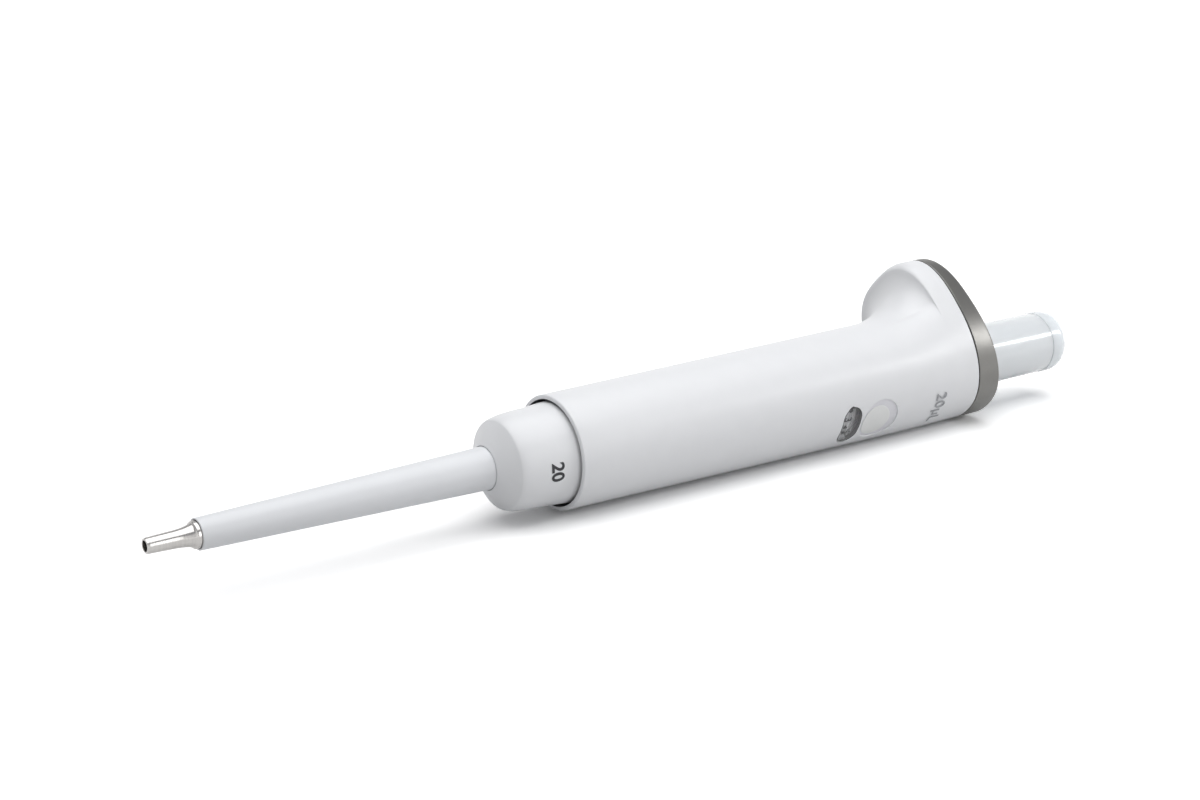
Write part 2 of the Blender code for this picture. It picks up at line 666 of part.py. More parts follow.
def ejector_sleeve():
    """the long tapered tube that pushes a tip off the cone"""
    def outer(station):
        return SLEEVE_END_RADIUS + SLEEVE_TAPER * (station - SLEEVE_END)

    neck = SLEEVE_TOP - SLEEVE_COLLAR_DEPTH
    outline = [(SLEEVE_COLLAR, SLEEVE_TOP), (SLEEVE_COLLAR, neck), (outer(neck), neck)]
    outline += [(outer(SLEEVE_END), SLEEVE_END + SLEEVE_LIP), (outer(SLEEVE_END) - SLEEVE_LIP, SLEEVE_END)]
    outline += [(outer(SLEEVE_END) - SLEEVE_END_WALL, SLEEVE_END), (outer(neck) - SLEEVE_TOP_WALL, neck)]
    outline.append((outer(neck) - SLEEVE_TOP_WALL, SLEEVE_TOP))
    turned("ejector_sleeve", outline, PALE, ejector, MEDIUM)


def ejector_bell():
    """the rounded bell at the front of the grip, hollow, with a seat for the carriage"""
    floor = SLEEVE_TOP - SLEEVE_COLLAR_DEPTH - GAP
    taper_end = floor + BELL_FLOOR_TAPER[1]
    outline = [(BELL_RADIUS, BELL_TOP)]
    outline += soft_corner((BELL_RADIUS, BELL_SKIRT), BELL_CORNER, (BELL_HOLE, BELL_FACE), BELL_FACE_SHARE,
                           BELL_SHOULDER_STEPS)
    outline += [(BELL_HOLE, BELL_FACE), (BELL_HOLE, floor), (SLEEVE_COLLAR + 2 * GAP, floor)]
    outline += [(BELL_BORE - BELL_FLOOR_TAPER[0], taper_end), (BELL_BORE, floor + BELL_BORE_TAPER)]
    outline += [(BELL_BORE, BELL_SEAT), (CARRIAGE_RADIUS + GAP, BELL_SEAT)]
    outline.append((CARRIAGE_RADIUS + GAP, BELL_TOP))
    turned("ejector_bell", outline, WHITE, ejector, ROUND)


def ejector_carriage():
    """the long cup that carries the bell, slotted for the arms of the bulkhead, and its spring"""
    flange = CARRIAGE_FLANGE + CARRIAGE_FLANGE_DEPTH
    groove = CARRIAGE_BORE + CLIP_REACH + CLIP_PLAY
    groove_foot = CLIP_STATION - CLIP_PLAY
    groove_top = CLIP_STATION + CLIP_DEPTH + CLIP_PLAY
    foot = BELL_SEAT + GAP
    outline = [(CARRIAGE_RADIUS, CARRIAGE_TOP), (CARRIAGE_RADIUS, foot), (CARRIAGE_BORE, foot)]
    outline += [(CARRIAGE_BORE, CARRIAGE_FLANGE), (CARRIAGE_FLANGE_BORE, CARRIAGE_FLANGE)]
    outline += [(CARRIAGE_FLANGE_BORE, flange), (CARRIAGE_BORE, flange), (CARRIAGE_BORE, groove_foot)]
    outline += [(groove, groove_foot), (groove, groove_top), (CARRIAGE_BORE, groove_top)]
    outline.append((CARRIAGE_BORE, CARRIAGE_TOP))
    carriage = turned("ejector_carriage", outline, NATURAL, ejector)
    low, high = CARRIAGE_SLOT
    slot = block((3 * CARRIAGE_RADIUS, CARRIAGE_SLOT_WIDTH, high - low), (0.0, 0.0, (low + high) / 2))
    combine(carriage, guide("carriage_slots", slot), "DIFFERENCE")
    coil("ejector_spring", EJECTOR_SPRING, BULKHEAD_TOP + GAP, CARRIAGE_FLANGE - GAP, SPRING, axis)


def bulkhead():
    """the frame across the grip, whose hollow neck and hexagonal union nut hold the nose"""
    outline = [(BULKHEAD_RADIUS, BULKHEAD_TOP), (BULKHEAD_RADIUS, BULKHEAD_STATION)]
    outline += [(NECK_RADIUS, BULKHEAD_STATION), (NECK_RADIUS, NECK_FOOT), (NECK_BORE, NECK_FOOT)]
    outline += [(NECK_BORE, BULKHEAD_STATION), (BULKHEAD_BORE, BULKHEAD_STATION)]
    outline.append((BULKHEAD_BORE, BULKHEAD_TOP))
    frame = turned("nose_bulkhead", outline, NATURAL, axis)
    depth = BULKHEAD_TOP - BULKHEAD_STATION - 2 * GAP
    middle = (BULKHEAD_TOP + BULKHEAD_STATION) / 2
    root = BULKHEAD_RADIUS - ARM_ROOT
    for side in (-1, 1):
        arm = block((ARM_REACH - root, ARM_WIDTH, depth), (side * (ARM_REACH + root) / 2, 0.0, middle))
        combine(frame, guide("bulkhead_arm", arm), "UNION")
    lip_bore = SHAFT_NECK + GAP
    nut_bore = NECK_RADIUS + GAP
    nut = [(NUT_RADIUS, NUT_TOP), (NUT_RADIUS, NUT_FOOT), (lip_bore, NUT_FOOT)]
    nut += [(lip_bore, NECK_FOOT - GAP), (nut_bore, NECK_FOOT - GAP), (nut_bore, NUT_TOP)]
    union_nut = turned("nose_union_nut", nut, STEEL, axis)
    flats = bmesh.new()
    corner = NUT_ACROSS / math.sqrt(3.0)
    bmesh.ops.create_cone(flats, cap_ends=True, segments=NUT_FLATS, radius1=corner, radius2=corner,
                          depth=2 * (NUT_TOP - NUT_FOOT), matrix=Matrix.Translation((0.0, 0.0, NUT_FOOT)))
    combine(union_nut, guide("nut_flats", flats), "INTERSECT")


def stop_ring():
    """the ring that makes the first stop, its clip and the blow-out spring under it"""
    top = STOP_RING_STATION + STOP_RING_DEPTH
    tube("blow_out_stop_ring", STOP_RING_RADIUS, STOP_RING_BORE, STOP_RING_STATION, top, STEEL, overtravel)
    clip = tube("stop_ring_clip", CARRIAGE_BORE + CLIP_REACH, CLIP_BORE, CLIP_STATION,
                CLIP_STATION + CLIP_DEPTH, SPRING, ejector)
    size = (CLIP_OPENING, CLIP_OPENING, CLIP_OPENING)
    opening = block(size, ((CARRIAGE_BORE + CLIP_BORE) / 2, 0.0, CLIP_STATION))
    combine(clip, guide("clip_opening", opening), "DIFFERENCE")
    foot = CARRIAGE_FLANGE + CARRIAGE_FLANGE_DEPTH + GAP
    coil("blow_out_spring", BLOW_OUT_SPRING, foot, STOP_RING_STATION - GAP, SPRING, ejector)


def plunger_parts():
    """the rod with its stop collar, the seat under the rod's shoulder, and the measuring spring"""
    rod_top = CAP_STUB + CAP_SOCKET - GAP
    first_stop = STOP_RING_STATION + STOP_RING_DEPTH + STROKE + STOP_PLAY
    seat_top = SEAT_STATION + SEAT_DEPTH
    shoulder, shoulder_depth = SEAT_SHOULDER
    shoulder_foot = seat_top + GAP
    rod = [(0.0, rod_top), (ROD_RADIUS, rod_top), (ROD_RADIUS, shoulder_foot + shoulder_depth)]
    rod += [(shoulder, shoulder_foot + shoulder_depth), (shoulder, shoulder_foot)]
    rod += [(ROD_RADIUS, shoulder_foot), (ROD_RADIUS, first_stop + COLLAR_DEPTH)]
    rod += [(COLLAR_RADIUS, first_stop + COLLAR_DEPTH), (COLLAR_RADIUS, first_stop)]
    rod += [(ROD_RADIUS, first_stop), (ROD_RADIUS, HEAD_TOP + GAP), (0.0, HEAD_TOP + GAP)]
    turned("push_rod", rod, STEEL, plunger, SMALL, closed=False)
    tube("spring_seat", SEAT_RADIUS, ROD_RADIUS + GAP, SEAT_STATION, seat_top, NATURAL, plunger)
    foot = STOP_RING_STATION + STOP_RING_DEPTH + GAP
    coil("measuring_spring", MEASURING_SPRING, foot, SEAT_STATION - GAP, SPRING, overtravel)


def carriage_stop():
    """the fixed ring that the carriage rests against"""
    foot = CARRIAGE_TOP + GAP
    outer = BARREL_BORE - GAP
    tube("carriage_stop_ring", outer, CARRIAGE_BORE, foot, foot + CARRIAGE_STOP_DEPTH, STEEL, axis)


def adjuster_parts():
    """the turning sleeve that sets the stroke's upper stop, notched for the tool, and its scale"""
    thread = BARREL_BORE - GAP
    lip = SEAT_STATION + SEAT_DEPTH + GAP
    gear_foot, gear_top = GEAR_SPAN
    outline = [(thread, ADJUSTER_TOP), (thread, ADJUSTER_THREAD_FOOT)]
    outline += [(ADJUSTER_RADIUS, ADJUSTER_THREAD_FOOT), (ADJUSTER_RADIUS, gear_top)]
    outline += [(GEAR_RADIUS, gear_top), (GEAR_RADIUS, gear_foot), (ADJUSTER_RADIUS, gear_foot)]
    outline += [(ADJUSTER_RADIUS, ADJUSTER_FOOT), (ADJUSTER_BORE, ADJUSTER_FOOT), (ADJUSTER_BORE, lip)]
    outline += [(ADJUSTER_LIP_BORE, lip), (ADJUSTER_LIP_BORE, ADJUSTER_LIP_TOP)]
    outline += [(ADJUSTER_BORE, ADJUSTER_LIP_TOP), (ADJUSTER_BORE, ADJUSTER_TOP)]
    sleeve = turned("adjuster_sleeve", outline, NATURAL, adjuster)
    notches = bmesh.new()
    depth, width = GEAR_NOTCH
    size = Matrix.Diagonal((depth, width, 2 * (gear_top - gear_foot), 1.0))
    for step in range(GEAR_NOTCHES):
        turn = Matrix.Rotation(2 * math.pi * step / GEAR_NOTCHES, 4, "Z")
        spot = Matrix.Translation((GEAR_RADIUS, 0.0, (gear_foot + gear_top) / 2))
        bmesh.ops.create_cube(notches, size=1.0, matrix=turn @ spot @ size)
    combine(sleeve, guide("gear_notch_cutter", notches), "DIFFERENCE")
    foot, top = SCALE_SPAN
    tube("adjustment_scale_ring", SCALE_RADIUS, ADJUSTER_RADIUS + GAP, foot, top, DARK, adjuster, MEDIUM)


def button():
    """the clear button tube, its cap, and the disc that keeps the rod central in it"""
    tube("button_tube", BUTTON_RADIUS, BUTTON_BORE, BUTTON_FOOT, BUTTON_TOP, CLEAR, plunger, MEDIUM)
    disc_foot = BUTTON_FOOT + DISC_SINK
    inside = BUTTON_BORE - GAP
    socket = ROD_RADIUS + GAP
    tube("rod_centring_disc", inside, socket, disc_foot, disc_foot + DISC_DEPTH, NATURAL, plunger)
    crown = CAP_END - CAP_ROUND
    outline = [(0.0, CAP_END)]
    outline += arc((CAP_RADIUS - CAP_ROUND, crown), (CAP_ROUND, CAP_ROUND), 90, 0, CAP_ROUND_STEPS)
    outline += [(CAP_RADIUS, BUTTON_TOP + GAP), (inside, BUTTON_TOP + GAP), (inside, CAP_STUB)]
    outline += [(socket, CAP_STUB), (socket, CAP_STUB + CAP_SOCKET), (0.0, CAP_STUB + CAP_SOCKET)]
    turned("button_cap", outline, CLEAR, plunger, MEDIUM, closed=False)


def button_bush():
    """the flanged bush in the end of the grip that guides the button"""
    foot = LEDGE_STATION + LEDGE_DEPTH + GAP
    outline = [(BUSH_NECK, BUSH_TOP), (BUSH_NECK, FACE_STATION - GAP), (BUSH_BORE - GAP, FACE_STATION - GAP)]
    outline += [(BUSH_BORE - GAP, foot), (BUSH_HOLE, foot), (BUSH_HOLE, BUSH_TOP)]
    turned("button_bush", outline, NATURAL, axis, MEDIUM)


def stand_on_table():
    """lay the pipette down along +X, lowest point at height zero, its box centred on the origin"""
    hook = (0.0, math.sin(LEAN), math.cos(LEAN))
    side = (0.0, -math.cos(LEAN), math.sin(LEAN))
    along = (1.0, 0.0, 0.0)
    to_world = Matrix((hook, side, along)).transposed().to_4x4()
    axis.matrix_world = to_world
    bpy.context.view_layer.update()
    graph = bpy.context.evaluated_depsgraph_get()
    corners = []
    for thing in parts.objects:
        if thing.type in {"MESH", "CURVE"}:
            solid = thing.evaluated_get(graph)
            mesh = solid.to_mesh()
            corners += [solid.matrix_world @ vert.co for vert in mesh.vertices]
            solid.to_mesh_clear()
    low = [min(point[k] for point in corners) for k in range(3)]
    high = [max(point[k] for point in corners) for k in range(3)]
    shift = (-(low[0] + high[0]) / 2, -(low[1] + high[1]) / 2, -low[2])
    axis.matrix_world = Matrix.Translation(shift) @ to_world


grip_shell()
end_plate()
window_and_seal()
button_bush()
carriage_stop()
bulkhead()
tip_cone()
nose_shaft()
cylinder_and_seals()
ejector_sleeve()
ejector_bell()
ejector_carriage()
stop_ring()
plunger_parts()
piston()
adjuster_parts()
button()
stand_on_table()
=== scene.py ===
# %% [markdown]
# A fixed volume pipette lies on its side on a white table. The solids of its pieces come from
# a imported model, which gives the place of everything. This lesson loads that model, models
# finer pieces round it, gives every surface its own finish, and sets up the light and the camera.

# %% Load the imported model
import json
import math

import bmesh
import bpy
from mathutils import Matrix, Vector

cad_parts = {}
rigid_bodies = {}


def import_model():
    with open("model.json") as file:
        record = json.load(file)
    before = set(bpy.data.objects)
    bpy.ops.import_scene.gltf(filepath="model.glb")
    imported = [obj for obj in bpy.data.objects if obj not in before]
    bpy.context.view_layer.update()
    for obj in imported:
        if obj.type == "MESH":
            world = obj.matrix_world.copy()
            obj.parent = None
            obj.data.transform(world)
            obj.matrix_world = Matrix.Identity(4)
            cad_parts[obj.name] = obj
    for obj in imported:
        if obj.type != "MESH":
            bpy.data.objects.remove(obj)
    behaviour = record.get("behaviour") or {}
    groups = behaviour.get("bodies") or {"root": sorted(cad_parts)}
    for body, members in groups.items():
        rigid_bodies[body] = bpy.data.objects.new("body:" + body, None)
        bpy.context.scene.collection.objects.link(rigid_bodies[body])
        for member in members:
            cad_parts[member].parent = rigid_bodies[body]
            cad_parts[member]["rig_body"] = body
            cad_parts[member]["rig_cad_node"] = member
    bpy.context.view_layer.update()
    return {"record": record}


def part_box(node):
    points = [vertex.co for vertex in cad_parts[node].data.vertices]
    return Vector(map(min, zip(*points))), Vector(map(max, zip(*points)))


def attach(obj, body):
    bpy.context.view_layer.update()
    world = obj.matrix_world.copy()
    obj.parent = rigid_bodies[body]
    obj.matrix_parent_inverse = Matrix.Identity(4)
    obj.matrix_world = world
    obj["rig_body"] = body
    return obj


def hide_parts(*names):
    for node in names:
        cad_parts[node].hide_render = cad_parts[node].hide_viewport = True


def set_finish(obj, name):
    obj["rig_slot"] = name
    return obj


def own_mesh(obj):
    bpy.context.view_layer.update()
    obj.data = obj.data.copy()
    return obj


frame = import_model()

record = frame["record"]
slot_of = {part["node"]: part["material_slot"] for part in record["subparts"]}
body_of = {node: body for body, members in record["behaviour"]["bodies"].items() for node in members}

# %% [markdown]
# Nearly every piece of a pipette is turned, so all places are given as on a lathe: a reach from
# the axis, a bearing round it and a station along it, in millimetres and radians. Station zero
# is the front rim of the grip, and bearing zero points to the hook. The first two helpers below
# turn such a place into a point of the scene, and a point back into its bearing.

# %% Places on the pipette
MM = 0.001
LEAN = math.radians(45.0)                   # the hook leans this far over
HOOK = Vector((0.0, math.sin(LEAN), math.cos(LEAN)))
SIDE = Vector((0.0, -math.cos(LEAN), math.sin(LEAN)))
ALONG = Vector((1.0, 0.0, 0.0))

sleeve_low, sleeve_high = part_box("ejector_sleeve")
rim_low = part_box("grip_shell")[0]
AXIS = Vector((rim_low.x, (sleeve_low.y + sleeve_high.y) / 2, (sleeve_low.z + sleeve_high.z) / 2))


def at(reach, bearing, station):
    """the point at a reach, a bearing and a station, in millimetres and radians"""
    outwards = HOOK * math.cos(bearing) + SIDE * math.sin(bearing)
    return AXIS + ALONG * station * MM + outwards * reach * MM


def bearing_of(point):
    """the bearing of a point of the scene, in radians"""
    offset = point - AXIS
    return math.atan2(offset.dot(SIDE), offset.dot(HOOK))


def deselect():
    """leave no object selected"""
    bpy.ops.object.select_all(action="DESELECT")


print("front rim at", [round(value / MM, 2) for value in AXIS], "mm")

# %% [markdown]
# The camera comes first, so that every piece can be looked at from the start. It stands a
# little above the tip end and looks along the body towards the hook.

# %% Camera
CAMERA_FROM_RIM = Vector((-0.2578, -0.3793, 0.1585))
CAMERA_RIGHT = Vector((0.8141, -0.5808, 0.0))
CAMERA_UP = Vector((0.177, 0.2482, 0.9524))
CAMERA_LENS = 69.0                          # focal length in millimetres
SENSOR_WIDTH = 36.0

deselect()
bpy.ops.object.camera_add()
camera = bpy.context.object
camera.name = "camera"
camera.data.lens = CAMERA_LENS
camera.data.sensor_width = SENSOR_WIDTH
back = CAMERA_RIGHT.cross(CAMERA_UP)
turn = Matrix((CAMERA_RIGHT, CAMERA_UP, back)).transposed().to_4x4()
camera.matrix_world = Matrix.Translation(AXIS + CAMERA_FROM_RIM) @ turn
bpy.context.scene.camera = camera
print("camera", round((camera.location - AXIS).length / MM), "mm from the rim")

# %% [markdown]
# A turned piece is drawn as half of its section, and the drawing is then spun round the axis.
# A corner of the drawing may carry a third number, the size of its round, because no real edge
# is quite sharp and a rounded edge catches the light.

# %% Turning a piece
WELD = 0.000001                             # points closer than this are one point
AROUND = 144                                # facets round a large piece
SMALL_AROUND = 72                           # facets round a small one
ROUND_STEPS = 4                             # facets of a rounded edge of a large piece
SMALL_ROUND_STEPS = 2                       # and of a small one
TURNED_SMOOTH = math.radians(30.0)          # flatter edges than this are shaded smooth
SMOOTH = math.radians(35.0)                 # the same on pieces that aren't only turned


def rounded(outline, steps):
    """the outline with its marked corners rounded"""
    points = []
    for i, entry in enumerate(outline):
        here = Vector(entry[:2])
        if len(entry) < 3:
            points.append(here)
            continue
        before = (Vector(outline[i - 1][:2]) - here).normalized() * entry[2]
        after = (Vector(outline[(i + 1) % len(outline)][:2]) - here).normalized() * entry[2]
        for step in range(steps + 1):
            share = step / steps
            points.append(here + before * (1 - share) ** 2 + after * share ** 2)
    return points


def draw(name, outline, closed):
    """start a piece from one point and extrude that point along the outline, left in edit mode"""
    points = [at(reach, 0.0, station) for reach, station in outline]
    deselect()
    bpy.ops.mesh.primitive_plane_add(size=MM, location=points[0])
    piece = bpy.context.object
    piece.name = name
    piece.data.name = name
    bpy.ops.object.transform_apply(location=True, rotation=True, scale=True)
    bpy.ops.object.mode_set(mode="EDIT")
    bpy.ops.mesh.select_all(action="SELECT")
    bpy.ops.mesh.merge(type="CENTER")
    targets = points[1:] + points[:1] if closed else points[1:]
    here = points[0]
    for target in targets:
        bpy.ops.mesh.extrude_vertices_move(TRANSFORM_OT_translate={"value": target - here})
        here = target
    bpy.ops.mesh.select_all(action="SELECT")
    bpy.ops.mesh.remove_doubles(threshold=WELD)
    return piece


def close_up():
    """weld the mesh that is being edited, point its faces outwards and leave edit mode"""
    bpy.ops.mesh.select_all(action="SELECT")
    bpy.ops.mesh.remove_doubles(threshold=WELD)
    bpy.ops.mesh.normals_make_consistent(inside=False)
    if bmesh.from_edit_mesh(bpy.context.object.data).calc_volume(signed=True) < 0:
        bpy.ops.mesh.flip_normals()
    bpy.ops.object.mode_set(mode="OBJECT")


def lathe(name, outline, closed=True, around=AROUND, steps=ROUND_STEPS):
    """spin an outline of (reach, station) round the axis into a solid"""
    piece = draw(name, rounded(outline, steps), closed)
    bpy.ops.mesh.spin(steps=around, angle=2 * math.pi, center=AXIS, axis=ALONG)
    close_up()
    bpy.ops.object.shade_smooth_by_angle(angle=TURNED_SMOOTH)
    return piece


def arc(centre, radii, start, end, count):
    """points of an ellipse's arc, with the angles in degrees"""
    points = []
    for step in range(count + 1):
        angle = math.radians(start + (end - start) * step / count)
        points.append((centre[0] + radii[0] * math.cos(angle), centre[1] + radii[1] * math.sin(angle)))
    return points


def soft_corner(start, corner, end, share, count):
    """points of a curve that leaves start towards a corner and joins the line from there to end"""
    start, corner, end = Vector(start), Vector(corner), Vector(end)
    joint = corner.lerp(end, share)
    points = []
    for step in range(count + 1):
        way = step / count
        points.append(start.lerp(corner, way).lerp(corner.lerp(joint, way), way))
    return points


def settle(piece, body, slot, *replaced):
    """let a finished piece ride on its body, with its finish, in place of the plain solids"""
    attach(piece, body)
    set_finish(piece, slot)
    if replaced:
        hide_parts(*replaced)
    print(piece.name, len(piece.data.polygons), "faces")


# %% [markdown]
# The grip and the end plate aren't round. Their skins are grown ring by ring: a circle is
# extruded again and again, and each new ring is laid to the reach and station that a rule gives
# for its bearing. The oval of the hook is a superellipse, wide and full at its end.

# %% Growing a skin ring by ring
RIM_RADIUS = 12.5
BARREL_TAPER = 0.009
OVAL_HALF_WIDTH = 14.23
OVAL_MIDDLE = 8.0
OVAL_TIP = 25.775
OVAL_HEEL = 13.18
TIP_POWER = 2.7
HEEL_POWER = 2.2
FACE_STATION = 112.5
SCOOP_START = 88.0
GENTLE_RISE = 4.5                           # a rise above this is all scoop
HALVINGS = 40                               # steps of the search for the oval's reach
GRIP_AROUND = 192                           # facets round the grip and the end plate
SEED_RADIUS = 10.0                          # of the circle that a skin starts from


def barrel_radius(station):
    """reach of the barrel's skin"""
    return RIM_RADIUS + BARREL_TAPER * station


def oval_radius(bearing):
    """reach of the oval outline, found by halving"""
    low, high = 0.0, 2 * OVAL_TIP
    for _ in range(HALVINGS):
        reach = (low + high) / 2
        along = reach * math.cos(bearing) - OVAL_MIDDLE
        across = abs(reach * math.sin(bearing)) / OVAL_HALF_WIDTH
        power, length = TIP_POWER, OVAL_TIP - OVAL_MIDDLE
        if along <= 0:
            power, length = HEEL_POWER, OVAL_HEEL + OVAL_MIDDLE
        inside = across ** power + (abs(along) / length) ** power < 1.0
        low, high = (reach, high) if inside else (low, reach)
    return low


def circle(reach, station):
    """rule for a round ring; the station may follow the height over the axis towards the hook"""
    return lambda b: (reach, station(reach * math.cos(b)) if callable(station) else station)


def oval(station, shrink=0.0):
    """rule for an oval ring"""
    def rule(b):
        reach = oval_radius(b) - shrink
        return reach, station(reach * math.cos(b)) if callable(station) else station
    return rule


def between(station, share):
    """rule for a ring part of the way from the barrel to the oval, gentle where the two lie close"""
    base = barrel_radius(station)
    way = (station - SCOOP_START) / (FACE_STATION - SCOOP_START)
    gentle = way * way * (3 - 2 * way)

    def rule(b):
        rise = oval_radius(b) - base
        steep = min(1.0, rise / GENTLE_RISE) ** 2
        return base + rise * (gentle + (share - gentle) * steep), station
    return rule


def lay(piece, rule):
    """move the selected ring to where its rule says"""
    mesh = bmesh.from_edit_mesh(piece.data)
    for vert in mesh.verts:
        if vert.select:
            bearing = bearing_of(vert.co)
            vert.co = at(rule(bearing)[0], bearing, rule(bearing)[1])
    bmesh.update_edit_mesh(piece.data)


def grow(name, rules):
    """a closed skin grown from a circle, whose last ring meets the first"""
    deselect()
    bpy.ops.mesh.primitive_circle_add(vertices=GRIP_AROUND, radius=SEED_RADIUS * MM, location=AXIS,
                                      rotation=(0.0, math.radians(90.0), 0.0))
    piece = bpy.context.object
    piece.name = name
    piece.data.name = name
    bpy.ops.object.transform_apply(location=True, rotation=True, scale=True)
    bpy.ops.object.mode_set(mode="EDIT")
    bpy.ops.mesh.select_all(action="SELECT")
    lay(piece, rules[0])
    for rule in rules[1:] + rules[:1]:
        bpy.ops.mesh.extrude_edges_move()
        lay(piece, rule)
    close_up()
    return piece


print("oval reaches", round(oval_radius(0.0), 1), "mm at the hook and",
      round(oval_radius(math.pi), 1), "mm behind")

# %% [markdown]
# Plates with round ends are bent round the barrel. The same plates, made a little too deep, serve
# as cutters, and so do plain blocks. The edges that a cut leaves are then softened.

# %% Plates, cutters and soft edges
PAD_AROUND = 64
PAD_CUTS = 6                                # cuts across the straight part of a plate
SHARP = math.radians(40.0)                  # edges sharper than this are rounded
EDGE_SEGMENTS = 2


def wrap(piece, station, bearing, radius):
    """bend a flat piece round the barrel: x runs round it, y along it and z outwards"""
    for vert in piece.data.vertices:
        vert.co = at(radius + vert.co.z / MM, bearing + vert.co.x / MM / radius, station + vert.co.y / MM)


def pad(name, length, width, low, high, station, bearing, loops=8):
    """a plate with round ends, wrapped round the barrel between two radii"""
    deselect()
    bpy.ops.mesh.primitive_circle_add(vertices=PAD_AROUND, radius=width / 2 * MM, fill_type="NGON")
    piece = bpy.context.object
    piece.name = name
    piece.data.name = name
    bpy.ops.object.mode_set(mode="EDIT")
    stretch = (length - width) / 2 * MM
    mesh = bmesh.from_edit_mesh(piece.data)
    for vert in mesh.verts:
        if abs(vert.co.x) > WELD:
            vert.co.x += math.copysign(stretch, vert.co.x)
    for edge in mesh.edges:
        edge.select_set(stretch > 0 and edge.calc_length() > stretch)
    bmesh.update_edit_mesh(piece.data)
    if stretch > 0:
        bpy.ops.mesh.subdivide(number_cuts=PAD_CUTS)
    bpy.ops.mesh.select_all(action="SELECT")
    for _ in range(loops):
        bpy.ops.mesh.inset(thickness=width / 2 * MM / (loops + 1))
    bpy.ops.mesh.select_all(action="SELECT")
    bpy.ops.mesh.extrude_region_move(TRANSFORM_OT_translate={"value": (0.0, 0.0, (high - low) * MM)})
    close_up()
    wrap(piece, station, bearing, low)
    return piece


def finish_edges(piece, width):
    """round the sharp edges of a piece"""
    deselect()
    piece.select_set(True)
    bpy.context.view_layer.objects.active = piece
    bevel = piece.modifiers.new("soft edges", "BEVEL")
    bevel.width = width * MM
    bevel.segments = EDGE_SEGMENTS
    bevel.limit_method = "ANGLE"
    bevel.angle_limit = SHARP
    bpy.ops.object.modifier_apply(modifier=bevel.name)
    bpy.ops.object.shade_smooth_by_angle(angle=SMOOTH)


def brick(along, across, up, reach, bearing, station):
    """a cutter block, turned so that it points away from the axis"""
    deselect()
    bpy.ops.mesh.primitive_cube_add(size=MM)
    block = bpy.context.object
    outwards = HOOK * math.cos(bearing) + SIDE * math.sin(bearing)
    block.data.transform(Matrix.Diagonal((along, across, up, 1.0)))
    block.data.transform(Matrix((ALONG, outwards.cross(ALONG), outwards)).transposed().to_4x4())
    block.data.transform(Matrix.Translation(at(reach, bearing, station)))
    return block


def carve(piece, cutter, operation="DIFFERENCE"):
    """take the cutter out of the piece, or join it or keep what both share"""
    deselect()
    bpy.context.view_layer.objects.active = piece
    piece.select_set(True)
    boolean = piece.modifiers.new("carve", "BOOLEAN")
    boolean.object = cutter
    boolean.operation = operation
    boolean.solver = "EXACT"
    bpy.ops.object.modifier_apply(modifier=boolean.name)
    bpy.data.objects.remove(cutter, do_unlink=True)


print("edges sharper than", round(math.degrees(SHARP)), "degrees are softened")

# %% [markdown]
# The grip is one white moulding. Its barrel widens very slightly towards the hook, a scoop like
# a quarter of an ellipse sweeps out into the hook, and a soft edge leads over to the wide rim.
# The skin returns through the bore, so it has a real wall all along.

# %% Grip
RIM_BORE = 11.5
RIM_BORE_DEPTH = 9.0
RIM_CHAMFER = 0.1
RIM_ROUND = 0.35
RIM_STEPS = 4
BARREL_BORE = 11.2
BARREL_BORE_START = 9.5
LEDGE_BORE = 9.6                            # the ledge that the bush stands on
LEDGE_STATION = 98.0
BUSH_BORE = 10.3
BUSH_STATION = 100.0
RING_SPACING = 6.0
FINE_SPACING = 1.5                          # of the rings near the window and the seal
FINE_FROM, FINE_TO = 64.0, 87.0
SCOOP_FACE = 106.5
SCOOP_SHARE = 0.87
HOOK_EDGE = 3.4
FACE_CHAMFER = 0.15
SCOOP_STEPS = 26
EDGE_STEPS = 9

rules = [circle(RIM_BORE + RIM_CHAMFER, 0.0)]
for step in range(RIM_STEPS + 1):
    angle = math.radians(90.0) * step / RIM_STEPS
    rules.append(circle(RIM_RADIUS - RIM_ROUND + RIM_ROUND * math.sin(angle),
                        RIM_ROUND - RIM_ROUND * math.cos(angle)))
station = RING_SPACING
while station < SCOOP_START - 1.0:
    rules.append(circle(barrel_radius(station), station))
    station += FINE_SPACING if FINE_FROM < station < FINE_TO else RING_SPACING
for step in range(SCOOP_STEPS + 1):
    angle = math.radians(90.0) * step / SCOOP_STEPS
    station = SCOOP_START + (SCOOP_FACE - SCOOP_START) * math.sin(angle)
    rules.append(between(station, SCOOP_SHARE * (1 - math.cos(angle))))
for step in range(1, EDGE_STEPS + 1):
    angle = math.radians(90.0) * step / EDGE_STEPS
    station = SCOOP_FACE + HOOK_EDGE * (1 - math.cos(angle))
    rules.append(between(station, SCOOP_SHARE + (1 - SCOOP_SHARE) * math.sin(angle)))
rules += [oval(FACE_STATION - 2.0), oval(FACE_STATION - FACE_CHAMFER), oval(FACE_STATION, FACE_CHAMFER)]
rules += [circle(BUSH_BORE, FACE_STATION), circle(BUSH_BORE, BUSH_STATION)]
rules += [circle(LEDGE_BORE, BUSH_STATION), circle(LEDGE_BORE, LEDGE_STATION)]
rules += [circle(BARREL_BORE, LEDGE_STATION), circle(BARREL_BORE, BARREL_BORE_START)]
rules += [circle(RIM_BORE, RIM_BORE_DEPTH)]
grip = grow("moulded_grip", rules)
print("grip", len(grip.data.polygons), "faces")

# %% [markdown]
# A stepped slot for the window, a shallow round recess for the seal with the tool hole under
# it, and a pocket that keeps the wall of the hook even are carved out of the grip. The recess
# lies a little nearer to the button than the seal, which leaves the crescent that the real one
# shows. The edges of the openings are then rounded a little.

